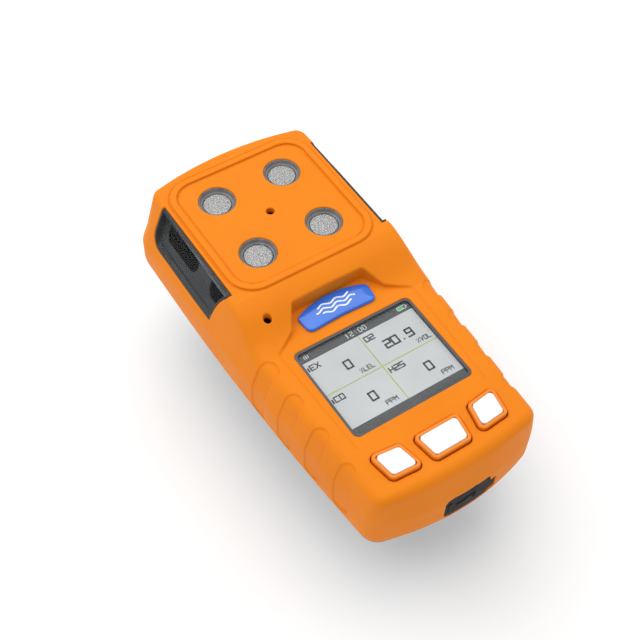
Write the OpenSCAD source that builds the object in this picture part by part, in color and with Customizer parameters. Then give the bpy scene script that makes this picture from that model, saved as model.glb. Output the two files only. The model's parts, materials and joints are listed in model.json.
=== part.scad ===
// Portable four-gas detector, lying on its belt clip.
// +X across the body, +Y towards the sensor end, +Z out of the front face.
// Origin: centre of the footprint, on the surface that the clip rests on.

/* [Body] */
// Length of the body along Y
body_len = 132; // [126:1:140]
// Widest width of the body, at the waist of the sensor head
body_w = 66.8; // [64:0.2:70]
// Height of the sensor head's front face above the resting surface
head_z = 46; // [44:0.5:48]
// Height of the display face above the resting surface
low_z = 38.9; // [37:0.1:40]
// Height of the rear face above the resting surface
rear_z = 8; // [8:0.5:9]
// Wall thickness of both shells
wall = 2.2; // [1.8:0.1:2.4]
// Radius of the long arc that narrows the flanks towards the bottom
flank_r = 830; // [700:10:1200]
// Sideways lean of the flanks above the waist, per millimetre of height
flank_lean = 0.36; // [0.32:0.01:0.4]
// Radius of the bottom end's arc in plan
bottom_arc_r = 80; // [70:1:120]
// Radius of the top end's arc in plan
top_arc_r = 102; // [80:1:160]
// Radius of the bottom corners in plan
bottom_corner_r = 4.4; // [4.4:0.1:6]

/* [Sensor head] */
// Distance between gas ports across the body
port_pitch_x = 23; // [22.5:0.1:24]
// Distance between gas ports along the body
port_pitch_y = 23.8; // [23.5:0.1:24.5]
// Radius of a gas port in the shell
port_r = 5.7; // [5.4:0.1:6]
// Depth from the front face to a port's filter
filter_depth = 1.6; // [1.4:0.1:2]
// Radius of the four gas sensors
sensor_r = 10; // [9.5:0.1:10.2]
// Height of the four gas sensors
sensor_h = 16.5; // [15:0.1:17]
// Radius of the calibration cap's screw hole
cal_r = 1.25; // [1.2:0.05:1.5]
// Outer width of the raised square bead round the ports
bead_w = 48.8; // [48:0.1:49.4]
// Height of the bead above the head's front face
bead_h = 0.6; // [0.4:0.1:0.8]

/* [Alarm windows] */
// Distance from the centre plane to a window's inner edge
window_x = 26; // [25.5:0.1:26.5]
// Depth of a window below the head's front face
window_depth = 12.6; // [11:0.1:13.5]

/* [Display and keys] */
// Width of the display opening
display_w = 39.9; // [38:0.1:40.5]
// Length of the display opening
display_l = 32.3; // [31:0.1:33]
// Travel of each key
key_travel = 0.6; // [0.4:0.05:0.8]
// Height of the key caps above the display face
key_rise = 1; // [0.6:0.1:1.2]

/* [Belt clip] */
// Width of the clip lever
lever_w = 20; // [18:1:22]
// Y of the lever's tip
lever_tip_y = -30; // [-36:1:-26]
// Y of the lever's thumb end
lever_thumb_y = 36; // [34:1:38]
// Radius of the clip's hinge pin
pin_r = 1.2; // [1:0.05:1.25]

/* [Hidden] */
$fn = 48;

// Body datums
waist_z = 30;                       // the flanks lean in above this height
low_waist_bottom = 18.2;            // and below a line that rises from here at the bottom end
low_waist_top = 23;                 // to here at the top end
rear_lean = 0.36;
end_waist_z = 27;                   // the bottom end leans in above this height
end_rear_lean = 0.45;
split_z = 16;                       // plane where the two shells meet
seal_t = 0.8;                       // thickness of the seal between the shells
top_y = body_len/2;
head_y = top_y - 31.25;             // centre of the sensor head
top_lean = 0.15;
shoulder_y = head_y - 23;           // where the front face is widest, below the alarm windows
shoulder_lean = -0.055;             // change of the flank's lean there, and at the top end
top_end_lean = 0.065;
tail_lean = 0.004;                  // steeper flanks near the bottom, per millimetre
tail_y = head_y - 60;
end_tail_lean = 0.005;              // and steeper still close to the bottom corners
end_tail_y = head_y - 81;
end_flattening = 0.00056;           // curvature that the bottom end loses per millimetre above its waist
bottom_lean = 0.235;
top_corner_max = 5.5;
top_corner_min = 2;
top_corner_growth = 0.3;            // corner radius gained per millimetre of depth
slope_top_y = head_y - 25;          // the slope between the head and the display face
slope_end_y = head_y - 42;
slope_softness = 0.5;
rear_edge_r = 3;
head_edge_r = 1.2;
low_edge_r = 2.4;
// Places of the cross-sections along a flank, and points in an end's arc and in a corner
side_ys = concat(
    [for (y = [-52:6:-10]) y],
    [for (t = [0:1/7:1.01]) slope_end_y + t*(slope_top_y - slope_end_y)],
    [for (y = [14:6:50]) y]);
n_end = 5;
n_corner = 6;
fit = 0.05;                         // gap between two pieces that locate each other
eps = 0.01;

// Sensor stack, from the front face down
port_x = port_pitch_x/2;
port_y = port_pitch_y/2;
ports = [[-port_x, head_y + port_y], [port_x, head_y + port_y],
         [-port_x, head_y - port_y], [port_x, head_y - port_y]];
manifold_top = head_z - wall;
manifold_bottom = manifold_top - 1.6;
filter_r = 4.25;
filter_t = 0.6;
gasket_t = 1.2;
sensor_top = manifold_bottom - gasket_t;
sensor_bottom = sensor_top - sensor_h;
sensor_board_top = sensor_bottom - 1.5;
board_t = 1.6;

// Alarm windows
window_top_y = head_y + 18.2;
window_low_y = head_y - 21.5;
window_low_outer_y = head_y - 17.4;
window_bottom_z = head_z - window_depth;
window_corner_r = 5;
lens_inset = 0.3;
lens_t = 1.2;

// Display, badge and keys
recess_z = low_z - 0.4;
low_inner_z = low_z - wall;
display_y = head_y - 59.86;
lcd_z = low_z - 1.5;
main_board_top = 31.1;
main_board_y = 12.2;                // end of the main board, under the lower sensors
key_top_y = head_y - 85.4;
key_low_y = head_y - 91.8;
cap_border = 1.35;
key_gap = 0.35;
flange_top = low_inner_z - 0.3;
flange_bottom = flange_top - 1.1;
grip_ys = [for (k = [0:3]) head_y - 45 - 12.6*k];
grip_r = 8.4;
grip_depth = 0.6;
grip_end_z = split_z + 4;             // where a finger groove starts to fade out

// Bottom end
door_w = 15.1;
door_top_z = 27.3;
door_bottom_z = 18.2;
door_t = 1.5;
door_x = 1.45;
door_mid_z = (door_top_z + door_bottom_z)/2;
strap_z = 19.6;
strap_h = 4.9;
end_arc_y = -body_len/2 + bottom_arc_r;
usb_board_z = door_mid_z - 1.65 - board_t;
usb_post_pts = [[door_x - 7.5, -top_y + 15.4], [door_x + 7.5, -top_y + 15.4]];
hinge_x = 11.3;

// Battery, sounder, vibration motor and alarm lamps
battery_y0 = -47;
battery_l = 48;
battery_top = 24.4;
sounder = [-20.8, head_y - 32.1];
buzzer_top = 36;
motor_r = 3.5;
motor_y = 44;
motor_z = 15.4;
lamp_ys = [head_y + 9, head_y - 12];
lamp_z = head_z - 7;

// Fasteners
case_screw_pts = [[22.5, top_y - 14], [-22.5, top_y - 14], [17.5, -top_y + 14], [-17.5, -top_y + 14]];
board_screw_pts = [[19.5, 13], [-19.5, 13], [15.5, 56.6], [-15.5, 56.6]];
clip_screw_pts = [[6.5, 28], [-6.5, 28], [0, 7]];
main_screw_pts = [[13, -3], [-13, -3], [9, -46.2], [-9, -46.2]];
boss_r = 3.2;
boss_top = 22.5;
screw_r = 1.2;
insert_r = 2;

// Belt clip
pivot_y = 18;
pivot_z = 4;
sheet_t = 1.2;
ear_x = 11;
spring_r = 2;
wire_r = 0.4;

// ---- Helper functions ----
function clamp01(t) = min(1, max(0, t));
function unit(v) = v/norm(v);
function mirrored(pts) = [for (k = [len(pts) - 1:-1:0]) [-pts[k][0], pts[k][1]]];

// Soft step from the display face up to the head
function slope_step(t) = t - slope_softness*sin(360*t)/(2*PI);
function head_share(y) = slope_step(clamp01((y - slope_end_y)/(slope_top_y - slope_end_y)));
function front_z(y) = low_z + (head_z - low_z)*head_share(y);
function edge_r(y) = low_edge_r + (head_edge_r - low_edge_r)*head_share(y);

function lean_at(y) = flank_lean + (y > shoulder_y
    ? shoulder_lean + (top_end_lean - shoulder_lean)*(y - shoulder_y)/48
    : shoulder_lean*clamp01(1 - (shoulder_y - y)/22) - tail_lean*max(0, tail_y - y)
    - end_tail_lean*max(0, end_tail_y - y));
function low_waist_z(y) = low_waist_bottom + (low_waist_top - low_waist_bottom)*(y + top_y)/body_len;

// Half width of the body at length y and height z
function half_w(y, z) = body_w/2 - pow(min(0, y - head_y), 2)/(2*flank_r)
    - lean_at(y)*max(0, z - waist_z) - rear_lean*max(0, low_waist_z(y) - z);
function top_end_y(z) = top_y - top_lean*max(0, z - waist_z) - rear_lean*max(0, low_waist_top - z);
function bottom_end_y(z) = -top_y + bottom_lean*max(0, z - end_waist_z)
    + end_rear_lean*max(0, low_waist_bottom - z);
function bottom_arc(z) = 1/(1/bottom_arc_r - end_flattening*max(0, z - end_waist_z));
function top_corner_r(z) = min(top_corner_max, top_corner_min + top_corner_growth*(head_z - z));

// Right half of the body's plan outline, from the bottom centre to the top centre.
// zf and inf give the height and the inset of the outline at length y.
function half_outline(zf, inf) = let(
    zb = zf(-top_y), ib = inf(-top_y), zt = zf(top_y), it = inf(top_y),
    rb = bottom_corner_r - ib, rt = max(0.5, top_corner_r(zt) - it),
    big_b = bottom_arc(zb) - ib, big_t = top_arc_r - it,
    yb = bottom_end_y(zb) + ib, yt = top_end_y(zt) - it,
    cxb = half_w(yb + rb + 3, zb) - ib - rb, cxt = half_w(yt - rt, zt) - it - rt,
    cyb = yb + big_b - sqrt(pow(big_b - rb, 2) - cxb*cxb),
    cyt = yt - big_t + sqrt(pow(big_t - rt, 2) - cxt*cxt),
    ab = asin(cxb/(big_b - rb)), at = asin(cxt/(big_t - rt)))
    concat(
        [for (k = [0:n_end - 1]) let(a = ab*k/n_end)
            [big_b*sin(a), yb + big_b*(1 - cos(a)), zb]],
        [for (k = [0:n_corner]) let(a = ab + (90 - ab)*k/n_corner)
            [cxb + rb*sin(a), cyb - rb*cos(a), zb]],
        [for (y = side_ys) [half_w(y, zf(y)) - inf(y), y, zf(y)]],
        [for (k = [n_corner:-1:0]) let(a = at + (90 - at)*k/n_corner)
            [cxt + rt*sin(a), cyt + rt*cos(a), zt]],
        [for (k = [n_end - 1:-1:0]) let(a = at*k/n_end)
            [big_t*sin(a), yt - big_t*(1 - cos(a)), zt]]);

// Closed plan outline at one height, as 2D points
function plan_outline(z, inset) = let(
    right = [for (p = half_outline(function(y) z, function(y) inset)) [p[0], p[1]]],
    n = len(right))
    concat(right, [for (k = [n - 2:-1:1]) [-right[k][0], right[k][1]]]);

// Ring of 3D points from one half outline
function ring(half) = concat(half, [for (k = [len(half) - 2:-1:1]) [-half[k][0], half[k][1], half[k][2]]]);

// Levels of the body solid, shrunk by t on every side
function body_rings(t) = let(
    rear = rear_z + t,
    rr = max(0.6, rear_edge_r - t),
    front_r = function(y) max(0.3, edge_r(y) - t))
    concat(
        [for (a = [90, 60, 30, 0])
            ring(half_outline(function(y) rear + rr*(1 - sin(a)), function(y) t + rr*(1 - cos(a))))],
        [ring(half_outline(function(y) low_waist_z(y), function(y) t))],
        [for (s = [0, 0.5])
            ring(half_outline(function(y) (1 - s)*waist_z + s*(front_z(y) - t - front_r(y)),
                              function(y) t))],
        [for (a = [0, 30, 60, 90])
            ring(half_outline(function(y) front_z(y) - t - front_r(y)*(1 - sin(a)),
                              function(y) t + front_r(y)*(1 - cos(a))))]);

// Polygon helpers: every corner of pts rounded to r, and a convex polygon grown by d
function fillet(a, p, b, r, n) = let(
    u = unit(a - p), v = unit(b - p), half = acos(u*v)/2, turn = 180 - 2*half,
    s = p + u*r/tan(half), e = p + v*r/tan(half), m = p + unit(u + v)*r/sin(half))
    [for (k = [0:n]) m + (sin((1 - k/n)*turn)*(s - m) + sin(k/n*turn)*(e - m))/sin(turn)];
function rounded(pts, r, n = 6) = let(c = len(pts))
    [for (i = [0:c - 1]) each fillet(pts[(i + c - 1)%c], pts[i], pts[(i + 1)%c], r, n)];
function edge_normal(a, b) = let(d = unit(b - a)) [d[1], -d[0]];
function grown(pts, d) = let(c = len(pts))
    [for (i = [0:c - 1]) let(
        m1 = edge_normal(pts[(i + c - 1)%c], pts[i]), m2 = edge_normal(pts[i], pts[(i + 1)%c]))
        pts[i] + d*(m1 + m2)/(1 + m1*m2)];

// Outlines, anticlockwise
function recess_pts(g) = rounded(grown([
    [21.5, head_y - 80], [23.2, head_y - 42], [16, head_y - 37.6], [12.2, head_y - 31.2],
    [0, head_y - 31], [-12.2, head_y - 31.2], [-16, head_y - 37.6], [-23.2, head_y - 42],
    [-21.5, head_y - 80]], g), 1.5, 3);
function rect_pts(w, l, y) = [[w/2, y - l/2], [w/2, y + l/2], [-w/2, y + l/2], [-w/2, y - l/2]];
function side_key_pts(s) = let(right = [
    [11.1, head_y - 91.15], [18.2, head_y - 90.6], [19.3, head_y - 84.05], [12.4, head_y - 84.85]])
    s > 0 ? right : mirrored(right);
middle_key_pts = [[5, key_low_y], [6, key_top_y], [-6, key_top_y], [-5, key_low_y]];
key_outlines = [side_key_pts(-1), middle_key_pts, side_key_pts(1)];

// ---- Shared shapes ----
// The whole body as one smooth solid, shrunk by t on every side
module body_solid(t) {
    rings = body_rings(t);
    n = len(rings[0]);
    m = len(rings);
    h = n/2;
    polyhedron(
        points = [for (r = rings) each r],
        faces = concat(
            [[for (k = [0:n - 1]) k]],
            [for (i = [0:m - 2], k = [0:n - 1]) let(a = i*n + k, b = i*n + (k + 1)%n)
                each [[a, a + n, b], [b, a + n, b + n]]],
            [for (k = [0:h - 1]) let(top = (m - 1)*n, l1 = (n - k)%n, l2 = n - k - 1)
                k == 0 ? [top, top + l2, top + 1] :
                k == h - 1 ? [top + k, top + l1, top + h] :
                [top + k, top + l1, top + l2, top + k + 1]]));
}

module half_space_above(z) {
    translate([-60, -100, z]) cube([120, 200, 80]);
}

module half_space_below(z) {
    translate([-60, -100, z - 80]) cube([120, 200, 80]);
}

module plate(pts, z0, z1) {
    translate([0, 0, z0]) linear_extrude(z1 - z0) polygon(pts);
}

module tube(r_out, r_in, h, sides = 48) {
    difference() {
        cylinder(r = r_out, h = h, $fn = sides);
        translate([0, 0, -eps]) cylinder(r = r_in, h = h + 2*eps, $fn = sides);
    }
}

// Cylinder along X between two x values
module x_rod(r, x0, x1, y, z) {
    translate([x0, y, z]) rotate([0, 90, 0]) cylinder(r = r, h = x1 - x0);
}

// Window cut-out: its side view, extruded along X from the inner edge outwards
module window_cut(side, grow = 0) {
    low = [[window_low_y - grow, head_z + 4], [window_low_y - grow, head_z - 0.5],
           [(window_low_y + window_low_outer_y)/2 + 0.8 - grow, head_z - 0.4*window_depth],
           [window_low_outer_y - grow, window_bottom_z - grow]];
    high = [window_top_y + grow, head_z + 4];
    foot = [window_top_y + grow, window_bottom_z - grow];
    corner = fillet([window_low_outer_y, window_bottom_z - grow], foot, high, window_corner_r, 6);
    mirror([side < 0 ? 1 : 0, 0, 0]) translate([window_x - grow, 0, 0])
        rotate([90, 0, 90]) linear_extrude(20) polygon(concat(low, corner, [high]));
}

// Finger groove down one flank
module grip_cut(side, y) {
    lean = atan(flank_lean);
    x = half_w(y, waist_z) + grip_r - grip_depth;
    mirror([side < 0 ? 1 : 0, 0, 0]) translate([x, y, waist_z]) {
        rotate([0, -lean, 0]) cylinder(r = grip_r, h = low_z - waist_z + 1);
        sphere(r = grip_r);
        translate([0, 0, grip_end_z - waist_z]) {
            cylinder(r = grip_r, h = waist_z - grip_end_z);
            sphere(r = grip_r);
        }
    }
}

// Arched slab that follows the bottom end, between two depths below its surface
module end_slab(d0, d1) {
    translate([0, end_arc_y, door_bottom_z - 10])
        tube(bottom_arc_r - d0, bottom_arc_r - d1, door_top_z - door_bottom_z + 20, 240);
}

// Front view of the socket door with its hinge strap, grown by g
module door_front(g) {
    door = [[door_x - door_w/2 - g, door_bottom_z - g], [door_x + door_w/2 + g, door_bottom_z - g],
            [door_x + door_w/2 + g, door_top_z + g], [door_x - door_w/2 - g, door_top_z + g]];
    translate([0, -top_y + 12, 0]) rotate([90, 0, 0]) linear_extrude(20) {
        polygon(rounded(door, 1.8, 4));
        translate([door_x + door_w/2 - 1, strap_z - g])
            square([hinge_x - door_x - door_w/2 + 1 + g, strap_h + 2*g]);
    }
}

// ---- Shells ----
module shell_cavity() {
    difference() {
        body_solid(wall);
        plate(recess_pts(2), low_inner_z, head_z + 10);
    }
}

module front_shell() color("darkorange") difference() {
    union() {
        difference() {
            body_solid(0);
            shell_cavity();
        }
        bead();
        for (p = case_screw_pts) case_boss(p);
        for (p = main_screw_pts)
            translate([p[0], p[1], main_board_top]) cylinder(r = 1.8, h = low_inner_z - main_board_top + 1);
    }
    half_space_below(split_z + seal_t/2);
    for (p = main_screw_pts) translate([p[0], p[1], main_board_top - 1]) cylinder(r = 0.9, h = 5.5);
    for (s = [-1, 1]) {
        window_cut(s);
        for (y = grip_ys) grip_cut(s, y);
    }
    for (p = ports) translate([p[0], p[1], head_z - wall - 1]) cylinder(r = port_r, h = wall + 3);
    translate([0, head_y, head_z - wall - 1]) cylinder(r = cal_r + fit, h = wall + 3);
    translate([sounder[0], sounder[1], low_z]) cylinder(r = 1.25, h = 12);
    plate(recess_pts(0), recess_z, head_z + 10);
    plate(rounded(rect_pts(display_w, display_l, display_y), 2), low_inner_z - 2, recess_z + 2);
    for (k = key_outlines)
        plate(rounded(grown(k, cap_border + key_gap), 1.8 + key_gap), low_inner_z - 2, low_z + 2);
    intersection() {
        door_front(0.25);
        end_slab(-2, door_t + 0.1);
    }
    translate([door_x, -top_y + 8, door_mid_z]) rotate([90, 0, 0]) linear_extrude(12)
        polygon(rounded(rect_pts(11, 6.2, 0), 1.2));
    for (p = case_screw_pts) translate([p[0], p[1], split_z - 1]) cylinder(r = insert_r, h = 7);
}

module bead() {
    translate([0, head_y, head_z - 0.5]) linear_extrude(bead_h + 0.5) difference() {
        polygon(rounded(rect_pts(bead_w, bead_w, 0), 8.6, 8));
        polygon(rounded(rect_pts(bead_w - 4.4, bead_w - 4.4, 0), 6.4, 8));
    }
}

// Boss for a case screw, with a gusset out to the wall
module case_boss(p) {
    s = sign(p[0]);
    out = p[1] > 0 ? 45 : 0;
    reach = p[1] > 0 ? 9 : 8.6;
    translate([p[0], p[1], split_z]) {
        cylinder(r = boss_r, h = boss_top - split_z);
        rotate([0, 0, s > 0 ? out : 180 - out]) translate([0, -1, 0]) cube([reach, 2, boss_top - split_z]);
    }
}

module rear_shell() color("dimgray") difference() {
    union() {
        difference() {
            body_solid(0);
            body_solid(wall);
            half_space_above(split_z - seal_t/2);
        }
        for (p = case_screw_pts) floor_post(p, 3.8, split_z - seal_t/2);
        for (p = board_screw_pts) floor_post(p, 2.4, sensor_board_top - board_t);
        for (p = clip_screw_pts) floor_post(p, 3.2, rear_z + 7);
        for (p = usb_post_pts) {
            floor_post(p, 1.6, usb_board_z);
            floor_post(p, 0.8, usb_board_z + board_t + 0.6);
        }
        battery_ribs();
        motor_cradle();
    }
    for (p = case_screw_pts) {
        translate([p[0], p[1], rear_z - 1]) cylinder(r = 2.7, h = 4);
        translate([p[0], p[1], rear_z]) cylinder(r = screw_r + 0.3, h = 20);
    }
    for (p = board_screw_pts) translate([p[0], p[1], rear_z + 6]) cylinder(r = 0.9, h = 20);
    for (p = clip_screw_pts) translate([p[0], p[1], rear_z - 1]) cylinder(r = insert_r, h = 7);
}

// Post on the rear shell's floor, up to height top
module floor_post(p, r, top) {
    translate([p[0], p[1], rear_z + 1]) cylinder(r = r, h = top - rear_z - 1);
}

// Low ribs that hold the battery pack in place
module battery_ribs() {
    for (s = [-1, 1]) translate([s*21 - 0.6, battery_y0 + 4, rear_z + 1]) cube([1.2, battery_l - 8, 6]);
    translate([-16, battery_y0 - 1.5, rear_z + 1]) cube([32, 1.2, 6]);
}

module motor_cradle() {
    difference() {
        translate([-9, motor_y - 4.6, rear_z + 1]) cube([8, 9.2, motor_z - rear_z - 1]);
        x_rod(motor_r, -20, 20, motor_y, motor_z);
    }
}

module shell_gasket() color("black")
    translate([0, 0, split_z - seal_t/2]) linear_extrude(seal_t) difference() {
        polygon(plan_outline(split_z, 0.6));
        polygon(plan_outline(split_z, wall));
    }

// ---- Sensor head ----
module gas_manifold() color("gray") difference() {
    union() {
        plate(rounded(rect_pts(43.4, 50, head_y), 5), manifold_bottom, manifold_top);
        for (p = ports) translate([p[0], p[1], manifold_bottom])
            cylinder(r = port_r - fit, h = head_z - 0.25 - manifold_bottom);
    }
    for (p = ports) {
        translate([p[0], p[1], head_z - filter_depth]) cylinder(r = port_r - 0.45, h = 5);
        translate([p[0], p[1], head_z - filter_depth - filter_t]) cylinder(r = filter_r + 0.15, h = 5);
        translate([p[0], p[1], manifold_bottom - 1]) cylinder(r = 3.4, h = 5);
    }
    translate([0, head_y, manifold_bottom - 1]) cylinder(r = insert_r + fit, h = 5);
}

module cal_insert() color("goldenrod")
    translate([0, head_y, manifold_top - 6.4]) tube(insert_r, cal_r, 6.35);

module port_filter(k) color("silver")
    translate([ports[k - 1][0], ports[k - 1][1], head_z - filter_depth - filter_t])
        cylinder(r = filter_r, h = filter_t);

module sensor_gasket(k) color("black")
    translate([ports[k - 1][0], ports[k - 1][1], sensor_top]) tube(9, 5, gasket_t);

// Electrochemical cell: body, stepped cap with its gas hole, three pins
module gas_sensor(k) color("whitesmoke") translate([ports[k - 1][0], ports[k - 1][1], sensor_bottom]) {
    difference() {
        union() {
            cylinder(r = sensor_r, h = sensor_h - 2);
            translate([0, 0, sensor_h - 2 - eps]) cylinder(r = sensor_r - 0.9, h = 2 + eps);
        }
        translate([0, 0, sensor_h - 1]) cylinder(r = 2, h = 2);
    }
    for (a = [90, 210, 330])
        rotate([0, 0, a]) translate([6.75, 0, -3]) cylinder(r = 0.75, h = 3.2, $fn = 24);
}

module sensor_board() color("darkgreen") difference() {
    union() {
        right = [[22, 10], [22, 47], [18.6, 48], [18.6, 59.5]];
        plate(rounded(concat(right, mirrored(right)), 0.8), sensor_board_top - board_t, sensor_board_top);
        translate([-5, 30, sensor_board_top - board_t - 1.2]) cube([10, 10, 1.3]);
    }
    for (p = board_screw_pts) translate([p[0], p[1], sensor_board_top - 5]) cylinder(r = 1.1, h = 8);
    for (p = ports, a = [90, 210, 330]) translate([p[0], p[1], sensor_board_top - 5])
        rotate([0, 0, a]) translate([6.75, 0, 0]) cylinder(r = 0.85, h = 8, $fn = 24);
}

// ---- Electronics behind the display ----
module main_board() color("darkgreen") {
    right = [[17.5, -58.5], [21.5, -48], [21.5, main_board_y]];
    difference() {
        plate(rounded(concat(right, mirrored(right)), 1.5), main_board_top - board_t, main_board_top);
        for (p = main_screw_pts) translate([p[0], p[1], main_board_top - 5]) cylinder(r = 1.1, h = 8);
    }
    translate([-7, -34, main_board_top - board_t - 1.4]) cube([14, 14, 1.5]);
    translate([9, -16, main_board_top - board_t - 1]) cube([7, 5, 1.1]);
    translate([-16, -12, main_board_top - board_t - 1]) cube([6, 4, 1.1]);
}

// Stacking connector between the two boards
module board_connector() color("ivory")
    translate([-9, main_board_y - 2.3, sensor_board_top])
        cube([18, 2.2, main_board_top - board_t - sensor_board_top]);

module display_gasket() color("dimgray") difference() {
    plate(rounded(rect_pts(display_w - 2*fit, display_l - 2*fit, display_y), 2),
        low_inner_z, recess_z - 0.2);
    plate(rounded(rect_pts(display_w - 1.6, display_l - 1.6, display_y), 1.4),
        low_inner_z - 1, recess_z + 1);
}

module display_window() color("lightcyan", 0.4)
    plate(rounded(rect_pts(display_w - 1.7, display_l - 1.7, display_y), 1.4), lcd_z + 0.1, recess_z - 0.3);

module lcd_module() color("lightgray") {
    plate(rect_pts(45, 37, display_y), 33.2, low_inner_z - 0.2);
    plate(rounded(rect_pts(display_w - 2.2, display_l - 2.2, display_y), 1.2), low_inner_z - 0.3, lcd_z);
    for (x = [-19, 19], y = [-14, 14]) translate([x, display_y + y, main_board_top])
        cylinder(r = 1.2, h = 33.3 - main_board_top);
}

// Badge outline: crowned top edge, slightly hollow bottom edge
module badge() color("royalblue") {
    top = 2.8;
    arc_r = (12.3*12.3 + top*top)/(2*top);
    span = asin(12.3/arc_r);
    upper = [for (a = [span:-span/4:-span*1.01]) [arc_r*sin(a), head_y - 31.2 - arc_r*(1 - cos(a))]];
    corners = concat([[11.6, head_y - 40.3]], upper, [[-11.6, head_y - 40.3], [0, head_y - 39.7]]);
    plate(rounded(corners, 1.2, 3), recess_z, recess_z + 1.3);
}

// ---- Keys ----
module key_cap(k) color("orange") {
    pts = key_outlines[k];
    difference() {
        union() {
            plate(rounded(grown(pts, cap_border), 1.8), flange_bottom, low_z + key_rise);
            plate(rounded(grown(pts, cap_border + 1), 2), flange_bottom, flange_top);
        }
        plate(rounded(grown(pts, fit), 1), low_z + key_rise - 0.8, low_z + key_rise + 2);
    }
    centre = (pts[0] + pts[1] + pts[2] + pts[3])/4;
    translate([centre[0], centre[1], flange_bottom - 0.4]) cylinder(r = 1.6, h = 0.5);
}

module key_face(k) color("white")
    plate(rounded(key_outlines[k], 1), low_z + key_rise - 0.8, low_z + key_rise + 0.15);

module key_membrane() color("lightgray") {
    z1 = flange_bottom - 0.4 - key_travel - 0.1;
    plate(rounded([[16.5, -58.6], [20.5, -48.6], [-20.5, -48.6], [-16.5, -58.6]], 1.5), z1 - 0.4, z1);
    for (s = [-1, 1], p = [[9, -53.5], [18.8, -49.8]])
        translate([s*p[0], p[1], main_board_top]) cylinder(r = 0.8, h = z1 - 0.3 - main_board_top);
}

module key_switches() color("silver") for (pts = key_outlines) {
    centre = (pts[0] + pts[1] + pts[2] + pts[3])/4;
    translate([centre[0] - 2.6, centre[1] - 2.6, main_board_top]) cube([5.2, 5.2, 1.6]);
    translate([centre[0], centre[1], main_board_top + 1.5]) cylinder(r = 1.4, h = 0.6);
}

// ---- Alarm windows ----
// Lens: a skin that follows the body's outer face inside the cut-out
module alarm_lens(side) color("lightsteelblue", 0.5) intersection() {
    difference() {
        body_solid(lens_inset);
        body_solid(lens_inset + lens_t);
    }
    window_cut(side, -0.15);
}

// Reflector behind each lens, with two round pockets for the alarm lamps
module reflector(side) color("#3c3c40") mirror([side < 0 ? 1 : 0, 0, 0]) difference() {
    translate([0, window_top_y - 1, 0]) rotate([90, 0, 0])
        linear_extrude(window_top_y - window_low_y - 3)
            polygon([[22.3, window_bottom_z - 2], [28.2, window_bottom_z - 2], [28.2, window_bottom_z + 0.6],
                     [25.2, head_z - 8], [25.6, head_z - wall - 0.3], [22.3, head_z - wall - 0.3]]);
    for (y = lamp_ys) translate([23.3, y, lamp_z]) rotate([0, 90, 0]) cylinder(r = 3.4, h = 8);
}

module alarm_leds() color("red") for (s = [-1, 1], y = lamp_ys) mirror([s < 0 ? 1 : 0, 0, 0]) {
    x_rod(2.5, 23.3, 23.9, y, lamp_z);
    x_rod(1.6, 23.8, 24.6, y, lamp_z);
}

// ---- Sounder, vibration motor, battery ----
module buzzer() color("#222222") translate([sounder[0], sounder[1], main_board_top]) difference() {
    cylinder(r = 6, h = buzzer_top - main_board_top);
    translate([0, 0, buzzer_top - main_board_top - 1]) cylinder(r = 1.2, h = 2);
}

// Foam collar that leads the sound to its hole; its top follows the shell
module buzzer_gasket() color("black") intersection() {
    translate([sounder[0], sounder[1], buzzer_top]) tube(3, 1.5, 8);
    body_solid(wall + fit);
}

module vibration_motor() color("silver") {
    x_rod(motor_r - fit, -10, 0, motor_y, motor_z);
    x_rod(1.3, -0.1, 0.8, motor_y, motor_z);
}

module motor_weight() color("darkgray") {
    x_rod(0.5, 1, 6, motor_y, motor_z);
    difference() {
        x_rod(4, 1.4, 6, motor_y, motor_z);
        translate([0, motor_y - 5, motor_z + 0.8]) cube([10, 10, 10]);
    }
}

module battery_pack() color("steelblue") {
    plate(rounded(rect_pts(40, battery_l, battery_y0 + battery_l/2), 3), rear_z + wall + 0.2, battery_top);
    translate([-6, battery_y0 + battery_l - 0.1, battery_top - 5]) cube([12, 1.6, 4]);
}

module battery_foam() color("#333333")
    plate(rounded(rect_pts(34, battery_l - 8, battery_y0 + battery_l/2), 3),
        battery_top, battery_top + 1.2);

// ---- Charging socket and its door ----
module usb_socket() color("silver")
    translate([door_x, -top_y + 10.6, door_mid_z]) rotate([90, 0, 0]) difference() {
        linear_extrude(7.4) polygon(rounded(rect_pts(9, 3.3, 0), 1.6));
        translate([0, 0, 1]) linear_extrude(8) polygon(rounded(rect_pts(8.4, 2.7, 0), 1.3));
    }

module usb_board() color("darkgreen") difference() {
    translate([door_x - 10, -top_y + 5, usb_board_z]) cube([20, 13, board_t]);
    for (p = usb_post_pts) translate([p[0], p[1], usb_board_z - 1]) cylinder(r = 0.85, h = 4);
}

// Rubber door: an arched slab, its hinge strap, and the plug that fills the opening
module usb_door() color("#2d2f31") {
    intersection() {
        door_front(0);
        end_slab(0.3, door_t);
    }
    difference() {
        translate([door_x, -top_y + 2.9, door_mid_z]) rotate([90, 0, 0]) linear_extrude(1.8)
            polygon(rounded(rect_pts(9.4, 5.2, 0), 1));
        translate([door_x, -top_y + 3.5, door_mid_z]) rotate([90, 0, 0]) linear_extrude(1.2)
            polygon(rounded(rect_pts(8.2, 4, 0), 0.6));
    }
}

// ---- Fasteners ----
module case_screws() color("gray") for (p = case_screw_pts)
    translate([p[0], p[1], rear_z + 0.9]) difference() {
        union() {
            cylinder(r = 2.4, h = 2.05);
            cylinder(r = screw_r, h = 12.4);
        }
        translate([0, 0, -0.1]) cylinder(r = 1.1, h = 1.3, $fn = 6);
    }

module screw_inserts() color("goldenrod") for (p = case_screw_pts)
    translate([p[0], p[1], split_z + seal_t/2]) tube(insert_r, screw_r + fit, 5.5);

// Screws of the sensor board, driven from above, and of the main board, from below
module board_screws() color("gray") {
    for (p = board_screw_pts) translate([p[0], p[1], sensor_board_top]) board_screw();
    for (p = main_screw_pts)
        translate([p[0], p[1], main_board_top - board_t]) mirror([0, 0, 1]) board_screw();
}

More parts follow.
